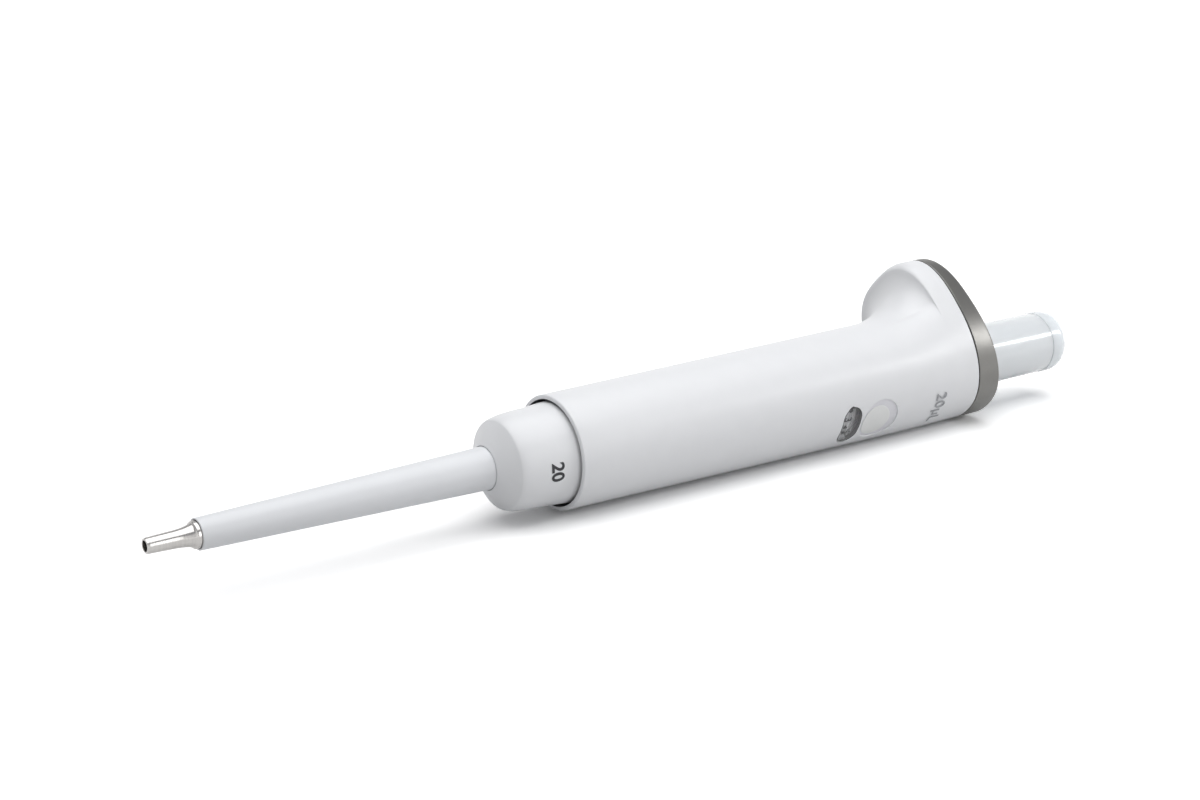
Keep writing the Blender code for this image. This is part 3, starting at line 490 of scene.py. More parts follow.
# %% Openings in the grip
WINDOW_STATION = 73.45
WINDOW_BEARING = math.radians(158.4)        # of the seal and its recess too
SEAL_STATION = 81.0
RECESS_STATION = 82.0
POCKET_LENGTH, POCKET_WIDTH, POCKET_DEPTH = 9.2, 5.4, 1.4
SLOT_LENGTH, SLOT_WIDTH = 8.4, 4.6
RECESS_WIDTH = 10.8
RECESS_DEPTH = 0.22
TOOL_HOLE_WIDTH = 4.0
PAST = 1.0                                  # a cutter goes this far past the wall
surface = barrel_radius(WINDOW_STATION)
carve(grip, pad("pocket", POCKET_LENGTH, POCKET_WIDTH, surface - POCKET_DEPTH, surface + PAST,
                WINDOW_STATION, WINDOW_BEARING))
carve(grip, pad("slot", SLOT_LENGTH, SLOT_WIDTH, BARREL_BORE - PAST, surface, WINDOW_STATION,
                WINDOW_BEARING))
surface = barrel_radius(SEAL_STATION)
RECESS_FLOOR = surface - RECESS_DEPTH
carve(grip, pad("recess", RECESS_WIDTH, RECESS_WIDTH, RECESS_FLOOR, surface + PAST, RECESS_STATION,
                WINDOW_BEARING))
carve(grip, pad("tool_hole", TOOL_HOLE_WIDTH, TOOL_HOLE_WIDTH, BARREL_BORE - PAST, surface,
                SEAL_STATION, WINDOW_BEARING))
carve(grip, brick(along=4.8, across=15.0, up=7.0, reach=17.5, bearing=0.0, station=FACE_STATION))
finish_edges(grip, 0.12)
settle(grip, "grip", "white_moulding", "grip_shell")

# %% [markdown]
# The metal cap on the end of the grip follows the same oval. It is thicker on the side away
# from the hook, its outer edge is rounded, and it is hollow underneath.

# %% End plate
PLATE_SEAT = FACE_STATION + 0.3
PLATE_DEPTH = 5.9
PLATE_SLOPE = 0.10
PLATE_WALL = 1.6
PLATE_BORE = 8.4
PLATE_ROUND = 0.9
PLATE_ROUND_STEPS = 6
SEAT_CHAMFER = 0.12
BORE_CHAMFER = 0.15


def plate_face(drop):
    """rule for the sloping face of the plate, this far below it"""
    return lambda height: FACE_STATION + PLATE_DEPTH - PLATE_SLOPE * height - drop


rules = [oval(PLATE_SEAT, SEAT_CHAMFER), oval(PLATE_SEAT + SEAT_CHAMFER)]
for step in range(PLATE_ROUND_STEPS + 1):
    angle = math.radians(90.0) * step / PLATE_ROUND_STEPS
    rules.append(oval(plate_face(PLATE_ROUND * (1 - math.sin(angle))), PLATE_ROUND * (1 - math.cos(angle))))
rules += [circle(PLATE_BORE + BORE_CHAMFER, plate_face(0.0)), circle(PLATE_BORE, plate_face(BORE_CHAMFER))]
rules += [circle(PLATE_BORE, plate_face(PLATE_WALL)), oval(plate_face(PLATE_WALL), PLATE_WALL)]
rules += [oval(PLATE_SEAT, PLATE_WALL)]
plate = grow("metal_end_plate", rules)
bpy.ops.object.shade_smooth_by_angle(angle=SMOOTH)
settle(plate, "grip", "satin_metal", "end_plate")

# %% [markdown]
# The bell slides in and out of the grip's front rim when a tip is pushed off. Its shoulder is
# rounded and a sloping face leads from there to the sleeve.

# %% Bell and sleeve
BELL_RADIUS = 10.6
BELL_SKIRT_RADIUS = 11.05
BELL_FACE = -16.6
BELL_BORE = 4.72
BELL_CAVITY = 8.6
BELL_TOP = 8.0
outline = [(BELL_SKIRT_RADIUS, BELL_TOP, 0.2), (BELL_SKIRT_RADIUS, 1.5, 0.5)]
outline += soft_corner((BELL_RADIUS, -4.0), (10.5, -12.65), (4.9, BELL_FACE), 0.2, 28)
outline += [(4.9, BELL_FACE, 0.12), (BELL_BORE, BELL_FACE, 0.1), (BELL_BORE, -13.4)]
outline += [(6.6, -13.4), (7.9, -12.4), (BELL_CAVITY, -9.5)]
outline += [(BELL_CAVITY, -3.3), (9.3, -3.3), (9.3, BELL_TOP, 0.2)]
bell = lathe("ejector_bell_moulding", outline)
settle(bell, "ejector", "white_moulding", "ejector_bell")

SLEEVE_END = -82.0
SLEEVE_END_RADIUS = 3.23
SLEEVE_TAPER = 0.021
SLEEVE_TOP = -11.6
FLANGE_FOOT = SLEEVE_TOP - 1.5
FLANGE_RADIUS = 6.0


def sleeve_radius(station):
    """reach of the sleeve's skin"""
    return SLEEVE_END_RADIUS + SLEEVE_TAPER * (station - SLEEVE_END)


bore = sleeve_radius(FLANGE_FOOT) - 0.8
outline = [(FLANGE_RADIUS, SLEEVE_TOP, 0.2), (FLANGE_RADIUS, FLANGE_FOOT, 0.1)]
outline += [(sleeve_radius(FLANGE_FOOT), FLANGE_FOOT), (sleeve_radius(SLEEVE_END), SLEEVE_END, 0.2)]
outline += [(sleeve_radius(SLEEVE_END) - 0.33, SLEEVE_END, 0.1), (bore, FLANGE_FOOT), (bore, SLEEVE_TOP)]
sleeve = lathe("ejector_sleeve_moulding", outline)
settle(sleeve, "ejector", "pale_moulding", "ejector_sleeve")

# %% [markdown]
# The steel cone takes the pipette tip. It is turned thin and slightly tapered, flares out like
# a trumpet and ends in a short ledge. Its mouth is bored, and its rim is rounded a little.

# %% Tip cone
CONE_END = -92.7
outline = [(2.3, -79.3), (2.3, -81.5), (2.8, -81.5), (2.8, -82.7, 0.12)]
outline += arc((2.72, -87.6), (-0.94, 4.7), 86, 0, 18)
outline += [(1.61, -92.3, 0.12), (1.46, CONE_END, 0.06), (1.1, CONE_END, 0.08), (1.1, -88.7)]
outline += [(0.5, -87.7), (0.5, -82.3), (1.6, -82.3), (1.6, -79.3)]
cone = lathe("steel_tip_cone", outline)
settle(cone, "nose", "cone_steel", "tip_cone")

# %% [markdown]
# The button is a clear tube with a clear cap. The cap's round crown and the thin line between
# the two are what the eye reads, so the crown gets a true arc and the line a narrow gap. A bush
# in the end of the grip guides the tube.

# %% Button
TUBE_RADIUS = 7.3
TUBE_BORE = 5.9
TUBE_FOOT = 109.0
TUBE_END = 142.86
CAP_RADIUS = 7.4
CAP_FOOT = 142.92
CAP_TOP = 148.5
CROWN_WIDTH = 3.0
CROWN_HEIGHT = 3.2
outline = [(TUBE_RADIUS, TUBE_END, 0.12), (TUBE_RADIUS, TUBE_FOOT, 0.3)]
outline += [(TUBE_BORE, TUBE_FOOT, 0.2), (TUBE_BORE, TUBE_END)]
button = lathe("button_tube_clear", outline)
settle(button, "plunger", "clear_button", "button_tube")
crown = arc((CAP_RADIUS - CROWN_WIDTH, CAP_TOP - CROWN_HEIGHT), (CROWN_WIDTH, CROWN_HEIGHT), 90, 0, 20)
outline = [(0.0, CAP_TOP)] + crown + [(CAP_RADIUS, CAP_FOOT, 0.1), (5.6, CAP_FOOT)]
outline += [(5.6, 138.0, 0.2), (2.3, 138.0), (2.3, 142.0), (0.0, 142.0)]
cap = lathe("button_cap_clear", outline, closed=False)
settle(cap, "plunger", "clear_button", "button_cap")

outline = [(8.1, 117.4, 0.2), (8.1, 112.2), (10.0, 112.2), (10.0, 100.3), (7.65, 100.3), (7.65, 117.4, 0.3)]
bush = lathe("guide_bush", outline)
settle(bush, "grip", "natural_bearing_plastic", "button_bush")

# %% [markdown]
# Behind the window a dark ring carries the scale of the adjustment. The pane in front of it is
# clear, and the seal next to it is a plain disc of foil.

# %% Window, scale and seal
PANE_LENGTH, PANE_WIDTH = 8.9, 5.1
SEAL_WIDTH = 8.1
SCALE_RADIUS = 10.9
SCALE_BORE = 9.9
SCALE_FOOT, SCALE_TOP = 69.4, 77.4
SCALE_GROOVES = 6
surface = barrel_radius(WINDOW_STATION)
pane = pad("window_pane", PANE_LENGTH, PANE_WIDTH, surface - 1.1, surface - 0.02, WINDOW_STATION,
           WINDOW_BEARING)
finish_edges(pane, 0.2)
settle(pane, "grip", "clear_window", "adjustment_window")

surface = barrel_radius(SEAL_STATION)
seal = pad("round_seal", SEAL_WIDTH, SEAL_WIDTH, surface - RECESS_DEPTH, surface - 0.08, SEAL_STATION,
           WINDOW_BEARING, loops=12)
finish_edges(seal, 0.05)
settle(seal, "grip", "grey_seal_foil", "adjustment_seal")

outline = [(SCALE_RADIUS, SCALE_TOP, 0.2)]
for groove in range(SCALE_GROOVES):
    station = 76.9 - groove * 0.55
    outline += [(SCALE_RADIUS, station + 0.1), (SCALE_RADIUS - 0.12, station), (SCALE_RADIUS, station - 0.1)]
outline += [(SCALE_RADIUS, SCALE_FOOT, 0.2), (SCALE_BORE, SCALE_FOOT), (SCALE_BORE, SCALE_TOP)]
scale = lathe("scale_ring", outline)
settle(scale, "adjuster", "dark_plastic", "adjustment_scale_ring")

# %% [markdown]
# The pieces inside don't show, but the pipette can be taken apart, so they are turned with the
# same care: every edge is broken, as on pieces that come off a lathe. First the nose with the
# piston in its cylinder, then the plunger's rod with its stops.

# %% Turned pieces inside


def inside(name, node, outline, closed=True):
    """a turned piece in place of a hidden solid, on the same body and with the same finish"""
    piece = lathe(name, outline, closed, SMALL_AROUND, SMALL_ROUND_STEPS)
    settle(piece, body_of[node], slot_of[node], node)


def washer(name, node, outer, bore, foot, top, soft=0.15):
    """a ring or a tube with broken edges"""
    inside(name, node, [(outer, top, soft), (outer, foot, soft), (bore, foot, soft), (bore, top, soft)])


outline = [(4.9, -7.0, 0.2), (4.9, -9.5, 0.2), (3.4, -9.5), (3.4, -20.0), (2.9, -22.0), (2.9, -54.0)]
outline += [(2.3, -62.0), (2.3, -79.0, 0.1), (1.3, -79.0), (1.3, -82.0, 0.15), (0.5, -82.0, 0.1)]
outline += [(0.5, -52.0), (2.1, -52.0), (2.1, -12.0), (2.8, -12.0), (2.8, -7.0, 0.15)]
inside("moulded_nose_shaft", "nose_shaft", outline)
washer("steel_cylinder", "measuring_cylinder", 1.8, 0.8, -51.7, -15.6)
inside("rubber_o_ring", "seal_o_ring", arc((1.4, -14.9), (0.4, 0.4), 90, -255, 23))
outline = [(1.8, -12.0, 0.1), (1.8, -14.2, 0.1), (1.2, -14.2), (1.15, -13.5), (0.9, -14.2, 0.05)]
outline += [(0.9, -12.0, 0.1)]
inside("lip_seal", "piston_seal", outline)
washer("gland_screw", "seal_gland", 2.5, 1.1, -11.7, -7.5)
outline = [(0.0, 20.8), (0.705, 20.8, 0.1), (0.705, -27.0, 0.15), (0.0, -27.0)]
inside("ground_piston", "piston", outline, closed=False)
outline = [(0.0, 22.0), (2.6, 22.0, 0.3), (2.6, 18.5, 0.3), (1.005, 18.5, 0.15), (1.005, 21.1), (0.0, 21.1)]
inside("moulded_piston_head", "piston_head", outline, closed=False)
outline = [(0.0, 141.7), (2.0, 141.7, 0.3), (2.0, 83.5), (3.2, 83.5, 0.15), (3.2, 82.3, 0.15), (2.0, 82.3)]
outline += [(2.0, 68.25), (4.5, 68.25, 0.2), (4.5, 65.85, 0.2), (2.0, 65.85), (2.0, 22.3, 0.3), (0.0, 22.3)]
inside("steel_push_rod", "push_rod", outline, closed=False)
washer("moulded_spring_seat", "spring_seat", 7.8, 2.3, 80.0, 82.0)
washer("moulded_centring_disc", "rod_centring_disc", 5.6, 2.3, 110.0, 113.0)
washer("steel_stop_ring", "blow_out_stop_ring", 7.9, 2.5, 50.0, 53.0, 0.2)
washer("steel_rest_ring", "carriage_stop_ring", 10.9, 8.2, 58.3, 60.3, 0.2)

# %% [markdown]
# Five of the hidden pieces are turned and then changed: the carriage gets two long slots that let
# the arms of the bulkhead through, the bulkhead gets those arms, the nut gets six flats, the clip
# is opened, and the adjuster gets notches for the tool. Its fine grooves stand for its thread.

# %% Cut pieces inside
NUT_WIDTH = 14.7                            # across the flats
TOOL_NOTCHES = 16
THREAD_GROOVES = 9


def cut_piece(name, node, outline, cuts):
    """a turned piece that is changed by (block, operation) pairs, then given soft edges"""
    piece = lathe(name, outline, True, SMALL_AROUND, SMALL_ROUND_STEPS)
    for cutter, operation in cuts:
        carve(piece, cutter, operation)
    finish_edges(piece, 0.08)
    settle(piece, body_of[node], slot_of[node], node)


outline = [(9.0, 58.0), (9.0, -3.0), (8.2, -3.0), (8.2, 38.0), (4.0, 38.0), (4.0, 40.0), (8.2, 40.0)]
outline += [(8.2, 53.1), (8.6, 53.1), (8.6, 54.5), (8.2, 54.5), (8.2, 58.0)]
slots = brick(along=28.5, across=12.0, up=27.0, reach=0.0, bearing=0.0, station=20.25)
cut_piece("slotted_carriage", "ejector_carriage", outline, [(slots, "DIFFERENCE")])

outline = [(7.9, 13.0), (7.9, 9.0), (6.4, 9.0), (6.4, -9.5), (5.2, -9.5), (5.2, 9.0), (3.4, 9.0), (3.4, 13.0)]
arms = [(brick(3.4, 5.0, 4.2, 8.5, bearing, 11.0), "UNION") for bearing in (0.0, math.pi)]
cut_piece("two_armed_bulkhead", "nose_bulkhead", outline, arms)

outline = [(7.6, -3.0), (7.6, -11.3), (3.7, -11.3), (3.7, -9.8), (6.7, -9.8), (6.7, -3.0)]
deselect()
bpy.ops.mesh.primitive_cylinder_add(vertices=6, radius=NUT_WIDTH / math.sqrt(3.0) * MM, depth=30.0 * MM)
flats = bpy.context.object
flats.data.transform(Matrix((HOOK, SIDE, ALONG)).transposed().to_4x4())
flats.data.transform(Matrix.Translation(at(0.0, 0.0, -7.0)))
cut_piece("hexagonal_union_nut", "nose_union_nut", outline, [(flats, "INTERSECT")])

outline = [(8.4, 54.3), (8.4, 53.3), (7.0, 53.3), (7.0, 54.3)]
gap = brick(4.0, 4.0, 4.0, 7.6, 0.0, 53.3)
cut_piece("open_ring_clip", "stop_ring_clip", outline, [(gap, "DIFFERENCE")])

outline = [(10.9, 97.7)]
for groove in range(THREAD_GROOVES):
    station = 97.0 - groove
    outline += [(10.9, station), (10.7, station - 0.3), (10.9, station - 0.6)]
outline += [(10.9, 88.0), (9.6, 88.0), (9.6, 84.0), (10.7, 84.0), (10.7, 78.4), (9.6, 78.4), (9.6, 66.0)]
outline += [(8.2, 66.0), (8.2, 82.3), (4.5, 82.3), (4.5, 86.0), (8.2, 86.0), (8.2, 97.7)]
notches = []
for step in range(TOOL_NOTCHES):
    bearing = math.radians(360.0 / TOOL_NOTCHES * step)
    notches.append((brick(11.2, 1.4, 1.6, 10.7, bearing, 81.2), "DIFFERENCE"))
cut_piece("notched_adjuster", "adjuster_sleeve", outline, notches)

# %% [markdown]
# The springs are round wire on a coil whose end turns lie close together. A curve along the coil with a round
# section is turned into a mesh, and each spring gets a mesh of its own.

# %% Springs
POINTS_PER_TURN = 36
END_PITCH = 1.08                            # pitch of the close end turns, in wire thicknesses


def coil(name, radius, wire, turns, foot, top):
    """a compression spring between two stations"""
    deselect()
    data = bpy.data.curves.new(name, "CURVE")
    data.dimensions = "3D"
    data.bevel_depth = wire / 2 * MM
    data.bevel_resolution = 4
    data.use_fill_caps = True
    count = int(turns * POINTS_PER_TURN) + 1
    spline = data.splines.new("POLY")
    spline.points.add(count - 1)
    span = top - foot - wire
    close = END_PITCH * wire
    end = 1.0 / turns
    for step in range(count):
        share = step / (count - 1)
        if share < end:
            height = close * share / end
        elif share > 1 - end:
            height = span - close * (1 - share) / end
        else:
            height = close + (span - 2 * close) * (share - end) / (1 - 2 * end)
        point = at(radius, 2 * math.pi * turns * share, foot + wire / 2 + height)
        spline.points[step].co = (*point, 1.0)
    spring = bpy.data.objects.new(name, data)
    bpy.context.scene.collection.objects.link(spring)
    bpy.context.view_layer.objects.active = spring
    spring.select_set(True)
    bpy.ops.object.convert(target="MESH")
    bpy.ops.object.mode_set(mode="EDIT")
    close_up()
    bpy.ops.object.shade_smooth_by_angle(angle=SMOOTH)
    return bpy.context.object


def fit_spring(name, node, body, sizes):
    """make a spring of a radius, wire and turns between the ends of a solid, riding on a body, with a mesh of
    its own
    """
    low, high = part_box(node)
    spring = coil(name, *sizes, (low.x - AXIS.x) / MM, (high.x - AXIS.x) / MM)
    settle(spring, body, "spring_wire", node)
    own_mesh(spring)


fit_spring("nose_return_spring", "nose_spring", "grip", (4.3, 0.7, 4))
fit_spring("sleeve_return_spring", "ejector_spring", "grip", (6.4, 1.2, 4.5))
fit_spring("second_stop_spring", "blow_out_spring", "ejector", (6.4, 1.1, 3.5))
fit_spring("stroke_spring", "measuring_spring", "stop", (5.9, 0.8, 6))

# %% [markdown]
# Finishes are built from a few kinds of node. Every surface reads its own place on the object,
# has a slow change of colour, a finer change of gloss, and a fine grain that tilts the surface.

# %% A finish with grain
NOISE_LOW, NOISE_HIGH = 0.3, 0.7            # where most of a noise lies
GRAIN_DEPTH = 0.05                          # in millimetres


def finish(name, colour, roughness, metallic=0.0, cloud=(220.0, 0.02), polish=(900.0, 0.05),
           grain=(5000.0, 0.05), stretch=(1.0, 1.0, 1.0), **sockets):
    """a Principled material; cloud, polish and grain are each a scale and an amount"""
    material = bpy.data.materials.new(name)
    material.use_nodes = True
    tree = material.node_tree
    shader = tree.nodes["Principled BSDF"]
    shader.inputs["Metallic"].default_value = metallic
    for socket, value in sockets.items():
        shader.inputs[socket.replace("_", " ")].default_value = value
    place = tree.nodes.new("ShaderNodeTexCoord")
    mapping = tree.nodes.new("ShaderNodeMapping")
    mapping.inputs["Scale"].default_value = stretch
    tree.links.new(place.outputs["Object"], mapping.inputs["Vector"])

    def noise(scale, detail):
        texture = tree.nodes.new("ShaderNodeTexNoise")
        texture.inputs["Scale"].default_value = scale
        texture.inputs["Detail"].default_value = detail
        tree.links.new(mapping.outputs["Vector"], texture.inputs["Vector"])
        return texture

    ramp = tree.nodes.new("ShaderNodeValToRGB")
    ramp.color_ramp.elements[0].position = NOISE_LOW
    ramp.color_ramp.elements[1].position = NOISE_HIGH
    ramp.color_ramp.elements[0].color = (*[value * (1 - cloud[1]) for value in colour], 1.0)
    ramp.color_ramp.elements[1].color = (*[value * (1 + cloud[1]) for value in colour], 1.0)
    tree.links.new(noise(cloud[0], 3.0).outputs["Fac"], ramp.inputs["Fac"])
    tree.links.new(ramp.outputs["Color"], shader.inputs["Base Color"])
    gloss = tree.nodes.new("ShaderNodeMapRange")
    gloss.inputs["From Min"].default_value = NOISE_LOW
    gloss.inputs["From Max"].default_value = NOISE_HIGH
    gloss.inputs["To Min"].default_value = roughness - polish[1]
    gloss.inputs["To Max"].default_value = roughness + polish[1]
    tree.links.new(noise(polish[0], 4.0).outputs["Fac"], gloss.inputs["Value"])
    tree.links.new(gloss.outputs["Result"], shader.inputs["Roughness"])
    bump = tree.nodes.new("ShaderNodeBump")
    bump.inputs["Strength"].default_value = grain[1]
    bump.inputs["Distance"].default_value = GRAIN_DEPTH * MM
    tree.links.new(noise(grain[0], 2.0).outputs["Fac"], bump.inputs["Height"])
    tree.links.new(bump.outputs["Normal"], shader.inputs["Normal"])
    return material


print("finishes use the noise from", NOISE_LOW, "to", NOISE_HIGH)

# %% [markdown]
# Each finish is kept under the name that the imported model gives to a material. Steel that is
# turned on a lathe has marks that run round the axis, so its noise is stretched that way.

# %% Finishes
TURNED = (1.0, 0.03, 0.03)
finishes = {
    "white_moulding": finish("white moulding", (0.80, 0.81, 0.83), 0.36, cloud=(220.0, 0.008),
                             grain=(6000.0, 0.06)),
    "pale_moulding": finish("pale moulding", (0.77, 0.785, 0.81), 0.36, cloud=(220.0, 0.008),
                            grain=(6000.0, 0.06)),
    "clear_window": finish("clear pane", (0.97, 0.975, 0.98), 0.02, cloud=(300.0, 0.01), polish=(600.0, 0.01),
                           grain=(900.0, 0.005), Transmission_Weight=1.0, IOR=1.3),
    "clear_button": finish("clear button", (0.815, 0.865, 0.91), 0.25, cloud=(260.0, 0.006),
                           polish=(500.0, 0.02), grain=(700.0, 0.0), Coat_Weight=1.0, Coat_Roughness=0.03,
                           Coat_IOR=1.5, Subsurface_Weight=0.6, Subsurface_Radius=(1.0, 1.0, 1.0),
                           Subsurface_Scale=0.004),
    "grey_seal_foil": finish("grey seal foil", (0.80, 0.81, 0.805), 0.42, cloud=(500.0, 0.012),
                             grain=(4000.0, 0.12)),
    "satin_metal": finish("satin metal", (0.20, 0.197, 0.188), 0.36, 1.0, cloud=(400.0, 0.02),
                          polish=(2500.0, 0.03), grain=(9000.0, 0.04)),
    "cone_steel": finish("turned cone steel", (0.53, 0.515, 0.50), 0.20, 1.0, cloud=(2500.0, 0.06),
                         polish=(9000.0, 0.06), grain=(14000.0, 0.08), stretch=TURNED),
    "bright_steel": finish("bright steel", (0.58, 0.58, 0.59), 0.22, 1.0, cloud=(2500.0, 0.05),
                           polish=(9000.0, 0.06), grain=(14000.0, 0.10), stretch=TURNED),
    "spring_wire": finish("spring wire", (0.50, 0.50, 0.51), 0.28, 1.0, cloud=(1500.0, 0.06),
                          grain=(7000.0, 0.15)),
    "natural_bearing_plastic": finish("natural bearing plastic", (0.70, 0.68, 0.62), 0.45,
                                      cloud=(300.0, 0.03), grain=(5000.0, 0.08)),
    "dark_plastic": finish("dark plastic", (0.045, 0.045, 0.05), 0.42, grain=(5000.0, 0.10)),
    "black_rubber": finish("black rubber", (0.03, 0.03, 0.03), 0.6, grain=(4000.0, 0.2)),
}
# painted shade: a near-black colour for the grip's bore behind the front rim, standing for the shadow in the
# narrow gap round the bell
painted_shade_bore = finish("painted shade bore", (0.05, 0.05, 0.055), 0.5)
# painted shade: dark grey for the window slot's walls and the pane's sides, standing for the shadow inside
# the window
painted_shade_slot = finish("painted shade slot", (0.20, 0.20, 0.205), 0.5)
# painted shade: a darker violet-grey for the floor of the seal's recess, standing for the shade in the
# shallow recess
painted_shade_recess_floor = finish("painted shade recess floor", (0.745, 0.745, 0.785), 0.45, grain=(6000.0, 0.08))
scale_band = finish("scale band", (0.42, 0.42, 0.43), 0.5, grain=(6000.0, 0.08))
print(len(finishes), "finishes and four shades")

# %% [markdown]
# Three pieces have faces with a colour of their own. The grip carries painted shade in its bore, near black
# for the shadow in the narrow gap behind the front rim, painted shade on the walls of its window slot, dark
# grey for the shadow inside the window, and a paler violet-grey painted shade on the floor of its recess. The
# pane carries the same dark grey painted shade on its sides, which draws a dark outline round the window. The
# scale ring's band is its own lighter grey. Every other piece has the one finish of its slot.

# %% Giving out the finishes
# bounds of the painted shade on the grip and the pane
BORE_REACH = 11.75                          # what lies nearer to the axis is inside the grip
BORE_END = 60.0
SLOT_REACH = 12.95                          # what lies nearer round the window is a slot wall
SLOT_HALF_LENGTH = 2.8
SLOT_BEARING = math.radians(120.0)
FLOOR_SLACK = 0.05
SIDE_FACING = 0.9                           # below this a face of the pane is one of its sides
BAND_REACH = 10.7


def place_of(face):
    """the reach and the station of a face's middle, in millimetres, and its direction outwards"""
    offset = face.center - AXIS
    station = offset.x / MM
    offset.x = 0.0
    return offset.length / MM, station, offset.normalized()


grip.data.materials.append(finishes["white_moulding"])
grip.data.materials.append(painted_shade_bore)
grip.data.materials.append(painted_shade_slot)
grip.data.materials.append(painted_shade_recess_floor)
for face in grip.data.polygons:
    reach, station, outwards = place_of(face)
    near_window = abs(station - WINDOW_STATION) < SLOT_HALF_LENGTH and bearing_of(face.center) > SLOT_BEARING
    near_seal = abs(station - RECESS_STATION) < RECESS_WIDTH / 2
    # painted shade: the bore behind the front rim
    if reach < BORE_REACH and station < BORE_END:
        face.material_index = 1
    # painted shade: the walls of the window slot
    elif reach < SLOT_REACH and near_window:
        face.material_index = 2
    # painted shade: the floor of the seal's recess
    elif abs(reach - RECESS_FLOOR) < FLOOR_SLACK and near_seal:
        face.material_index = 3
pane.data.materials.append(finishes["clear_window"])
pane.data.materials.append(painted_shade_slot)
# painted shade: the pane's sides take the slot's dark grey, a dark outline round the window
for face in pane.data.polygons:
    if abs(face.normal.dot(place_of(face)[2])) < SIDE_FACING:
        face.material_index = 1
scale.data.materials.append(finishes["dark_plastic"])
scale.data.materials.append(scale_band)
for face in scale.data.polygons:
    if place_of(face)[0] > BAND_REACH:
        face.material_index = 1
for thing in list(bpy.data.objects):
    if thing.type != "MESH" or "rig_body" not in thing or thing in (grip, pane, scale):
        continue
    slot = thing.get("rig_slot") or slot_of[thing["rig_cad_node"]]
    if not thing.data.materials:
        thing.data.materials.append(None)
    for index in range(len(thing.material_slots)):
        thing.material_slots[index].material = finishes[slot]
print("every piece has its finish")

# %% [markdown]
# The prints are plain numbers and the unit of volume: a ring of figures on the scale, the volume
# on the bell, and the volume with its unit on the grip. Each is a text made a mesh and bent round
# the surface, so it stands a hair above it, as ink does.

# %% Prints
LETTER_STEPS = 5                            # straight pieces per curve of a printed letter
LETTER_WELD = 0.0000001                     # points of a letter closer than this are one point
LETTER_HEIGHT = 0.7                         # of a capital, as a share of the text's size
INK_RELIEF = 0.03                           # the ink stands out by this much
FIGURES = 30                                # figures round the scale
ink = finish("dark ink", (0.02, 0.021, 0.025), 0.5, grain=(5000.0, 0.05))
pale_ink = finish("grey ink", (0.36, 0.37, 0.39), 0.5, grain=(5000.0, 0.05))


def printed(name, words, height, weight, station, bearing, radius, body, material, slot):
    """words that run round a surface, with their tops towards the button"""
    deselect()
    bpy.ops.object.text_add()
    label = bpy.context.object
    label.data.body = words
    label.data.size = height / LETTER_HEIGHT * MM
    label.data.align_x = "CENTER"
    label.data.extrude = INK_RELIEF * MM
    label.data.offset = weight * MM
    label.data.resolution_u = LETTER_STEPS
    bpy.ops.object.convert(target="MESH")
    label = bpy.context.object
    label.name = name
    label.data.name = name
    bpy.ops.object.mode_set(mode="EDIT")
    bpy.ops.mesh.select_all(action="SELECT")
    bpy.ops.mesh.remove_doubles(threshold=LETTER_WELD)
    bpy.ops.mesh.subdivide(number_cuts=2)
    bpy.ops.mesh.normals_make_consistent(inside=False)
    bpy.ops.object.mode_set(mode="OBJECT")
    wrap(label, station, math.radians(bearing), radius)
    label.data.materials.clear()
    label.data.materials.append(material)
    settle(label, body, slot)


for figure in range(FIGURES):
    printed("scale_figure_" + str(figure), str(figure % 10), 2.0, 0.04, 73.0, 360.0 / FIGURES * figure,
            SCALE_RADIUS, "adjuster", ink, "dark_plastic")
printed("volume_on_bell", "20", 2.95, 0.11, -6.7, 136.0, BELL_RADIUS, "ejector", ink, "dark_plastic")
printed("volume_on_grip", "20µL", 3.0, 0.02, 99.0, 160.5, barrel_radius(100.5) + 0.02, "grip", pale_ink,
        "grey_seal_foil")

# %% [markdown]
# The table is white. It keeps the shadow of the pipette, and what the camera and shiny surfaces
# see of it is lifted to white, while the light that it sends on to the object stays plain. Away
# from the pipette a glow takes over, so that the table has no edge.

# %% Floor
TABLE_SIZE = 8.0
TABLE_BOUNCE = 0.62                         # what the table sends on to the object
TABLE_SEEN = 1.0                            # what reflections see of it
CAMERA_EXTRA = 0.35                         # and what the camera sees on top
FADE_START, FADE_END = 0.15, 0.50           # metres from the middle, where the glow sets in


def seen_directly(tree):
    """1 for rays of the camera, reflections and clear pieces, else 0"""
    path = tree.nodes.new("ShaderNodeLightPath")
    total = path.outputs["Is Camera Ray"]
    for kind in ("Is Glossy Ray", "Is Transmission Ray"):
        add = tree.nodes.new("ShaderNodeMath")
        add.operation = "MAXIMUM"
        tree.links.new(total, add.inputs[0])
        tree.links.new(path.outputs[kind], add.inputs[1])
        total = add.outputs[0]
    return total


deselect()
bpy.ops.mesh.primitive_plane_add(size=TABLE_SIZE)
floor = bpy.context.object
floor.name = "table"
white = bpy.data.materials.new("white table")
white.use_nodes = True
tree = white.node_tree
tree.nodes.clear()
output = tree.nodes.new("ShaderNodeOutputMaterial")
paint = tree.nodes.new("ShaderNodeBsdfDiffuse")
gain = tree.nodes.new("ShaderNodeMapRange")
gain.inputs["To Min"].default_value = TABLE_BOUNCE
gain.inputs["To Max"].default_value = TABLE_SEEN
tree.links.new(seen_directly(tree), gain.inputs["Value"])
extra = tree.nodes.new("ShaderNodeMath")
extra.operation = "MULTIPLY_ADD"
extra.inputs[1].default_value = CAMERA_EXTRA
tree.links.new(tree.nodes["Light Path"].outputs["Is Camera Ray"], extra.inputs[0])
tree.links.new(gain.outputs["Result"], extra.inputs[2])
tree.links.new(extra.outputs[0], paint.inputs["Color"])
lift = tree.nodes.new("ShaderNodeEmission")
lift.inputs["Color"].default_value = (1.0, 1.0, 1.0, 1.0)
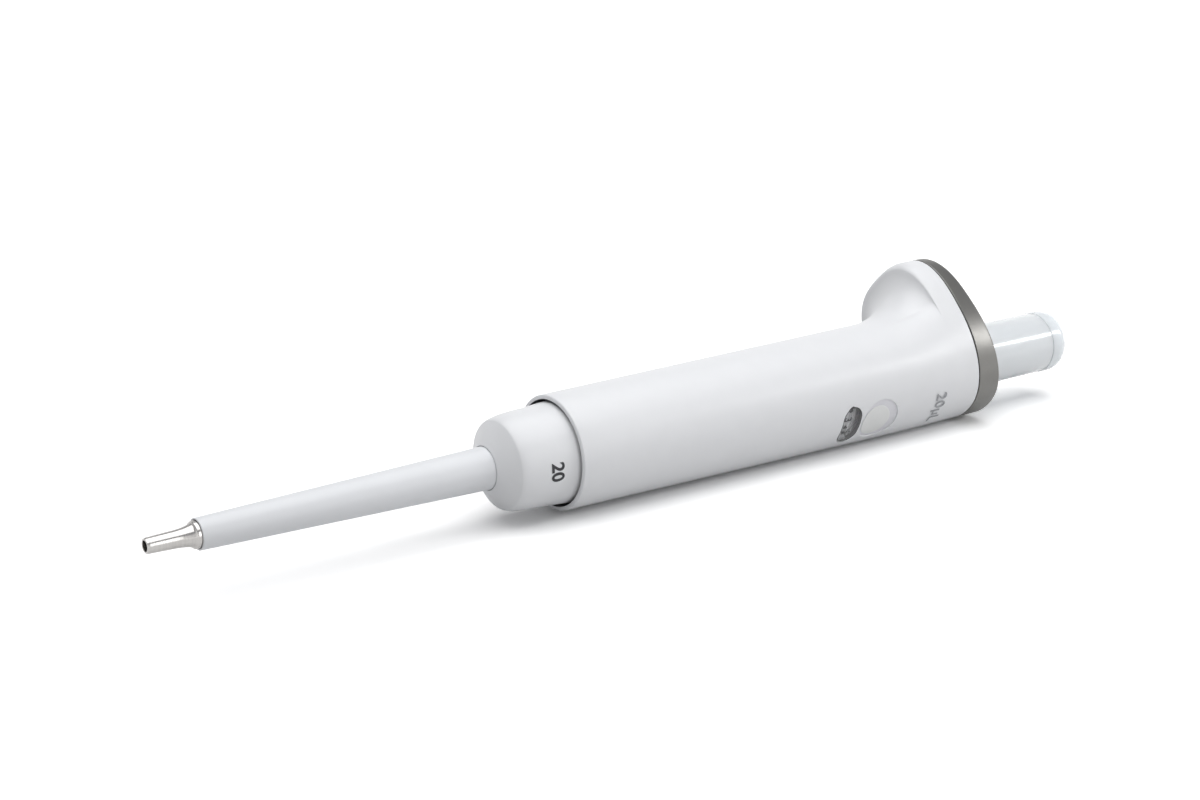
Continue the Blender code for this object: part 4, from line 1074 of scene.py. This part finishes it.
spot = tree.nodes.new("ShaderNodeTexCoord")
distance = tree.nodes.new("ShaderNodeVectorMath")
distance.operation = "LENGTH"
tree.links.new(spot.outputs["Object"], distance.inputs[0])
fade = tree.nodes.new("ShaderNodeMapRange")
fade.interpolation_type = "SMOOTHSTEP"
fade.inputs["From Min"].default_value = FADE_START
fade.inputs["From Max"].default_value = FADE_END
tree.links.new(distance.outputs["Value"], fade.inputs["Value"])
share = tree.nodes.new("ShaderNodeMath")
share.operation = "MULTIPLY"
tree.links.new(fade.outputs["Result"], share.inputs[1])
tree.links.new(seen_directly(tree), share.inputs[0])
tree.links.new(share.outputs[0], lift.inputs["Strength"])
both = tree.nodes.new("ShaderNodeAddShader")
tree.links.new(paint.outputs[0], both.inputs[0])
tree.links.new(lift.outputs[0], both.inputs[1])
tree.links.new(both.outputs[0], output.inputs["Surface"])
floor.data.materials.append(white)
print("white table")

# %% [markdown]
# The room is white too. Its light comes mostly from low down, and overhead it is darker, so that
# the lamp there can model the shapes. Seen directly, or in a shiny or clear piece, it is brighter.

# %% Surroundings
ROOM_LIGHT = 0.33
world = bpy.data.worlds.new("white room")
bpy.context.scene.world = world
world.use_nodes = True
tree = world.node_tree
background = tree.nodes["Background"]
direction = tree.nodes.new("ShaderNodeTexCoord")
parts_of = tree.nodes.new("ShaderNodeSeparateXYZ")
tree.links.new(direction.outputs["Generated"], parts_of.inputs[0])
ceiling = tree.nodes.new("ShaderNodeValToRGB")
ceiling.color_ramp.elements[0].position = 0.35
ceiling.color_ramp.elements[0].color = (1.0, 1.0, 1.0, 1.0)
ceiling.color_ramp.elements[1].position = 0.62
ceiling.color_ramp.elements[1].color = (0.38, 0.385, 0.40, 1.0)
tree.links.new(parts_of.outputs["Z"], ceiling.inputs["Fac"])
tree.links.new(ceiling.outputs["Color"], background.inputs["Color"])
level = tree.nodes.new("ShaderNodeMapRange")
level.inputs["To Min"].default_value = ROOM_LIGHT
tree.links.new(seen_directly(tree), level.inputs["Value"])
tree.links.new(level.outputs["Result"], background.inputs["Strength"])
print("white room")

# %% [markdown]
# One large soft lamp hangs overhead. A tall panel stands in front, low and a little to the
# right, and draws the bright band on the cone. A small lamp further to the right draws the crisp
# line on the button and the highlight on the end plate.

# %% Lamps


def lamp(name, direction, distance, size, power):
    """a rectangular lamp that looks at the middle of the scene; its first size lies along the pipette"""
    deselect()
    bpy.ops.object.light_add(type="AREA")
    light = bpy.context.object
    light.name = name
    light.data.shape = "RECTANGLE"
    light.data.size = size[0]
    light.data.size_y = size[1]
    light.data.energy = power
    outwards = Vector(direction).normalized()
    across = outwards.cross(ALONG).normalized()
    beside = across.cross(outwards)
    turn = Matrix((beside, across, outwards)).transposed().to_4x4()
    light.matrix_world = Matrix.Translation(outwards * distance) @ turn
    print(name, power, "W")


lamp("overhead_softbox", (0.0, 0.0, 1.0), 0.85, (1.2, 1.2), 8.9)
lamp("front_panel", (0.26, -0.90, 0.33), 0.9, (0.25, 0.5), 0.8)
lamp("button_highlight_lamp", (0.68, -0.44, 0.38), 0.89, (0.34, 0.10), 1.25)
bpy.context.scene.view_settings.view_transform = "Standard"
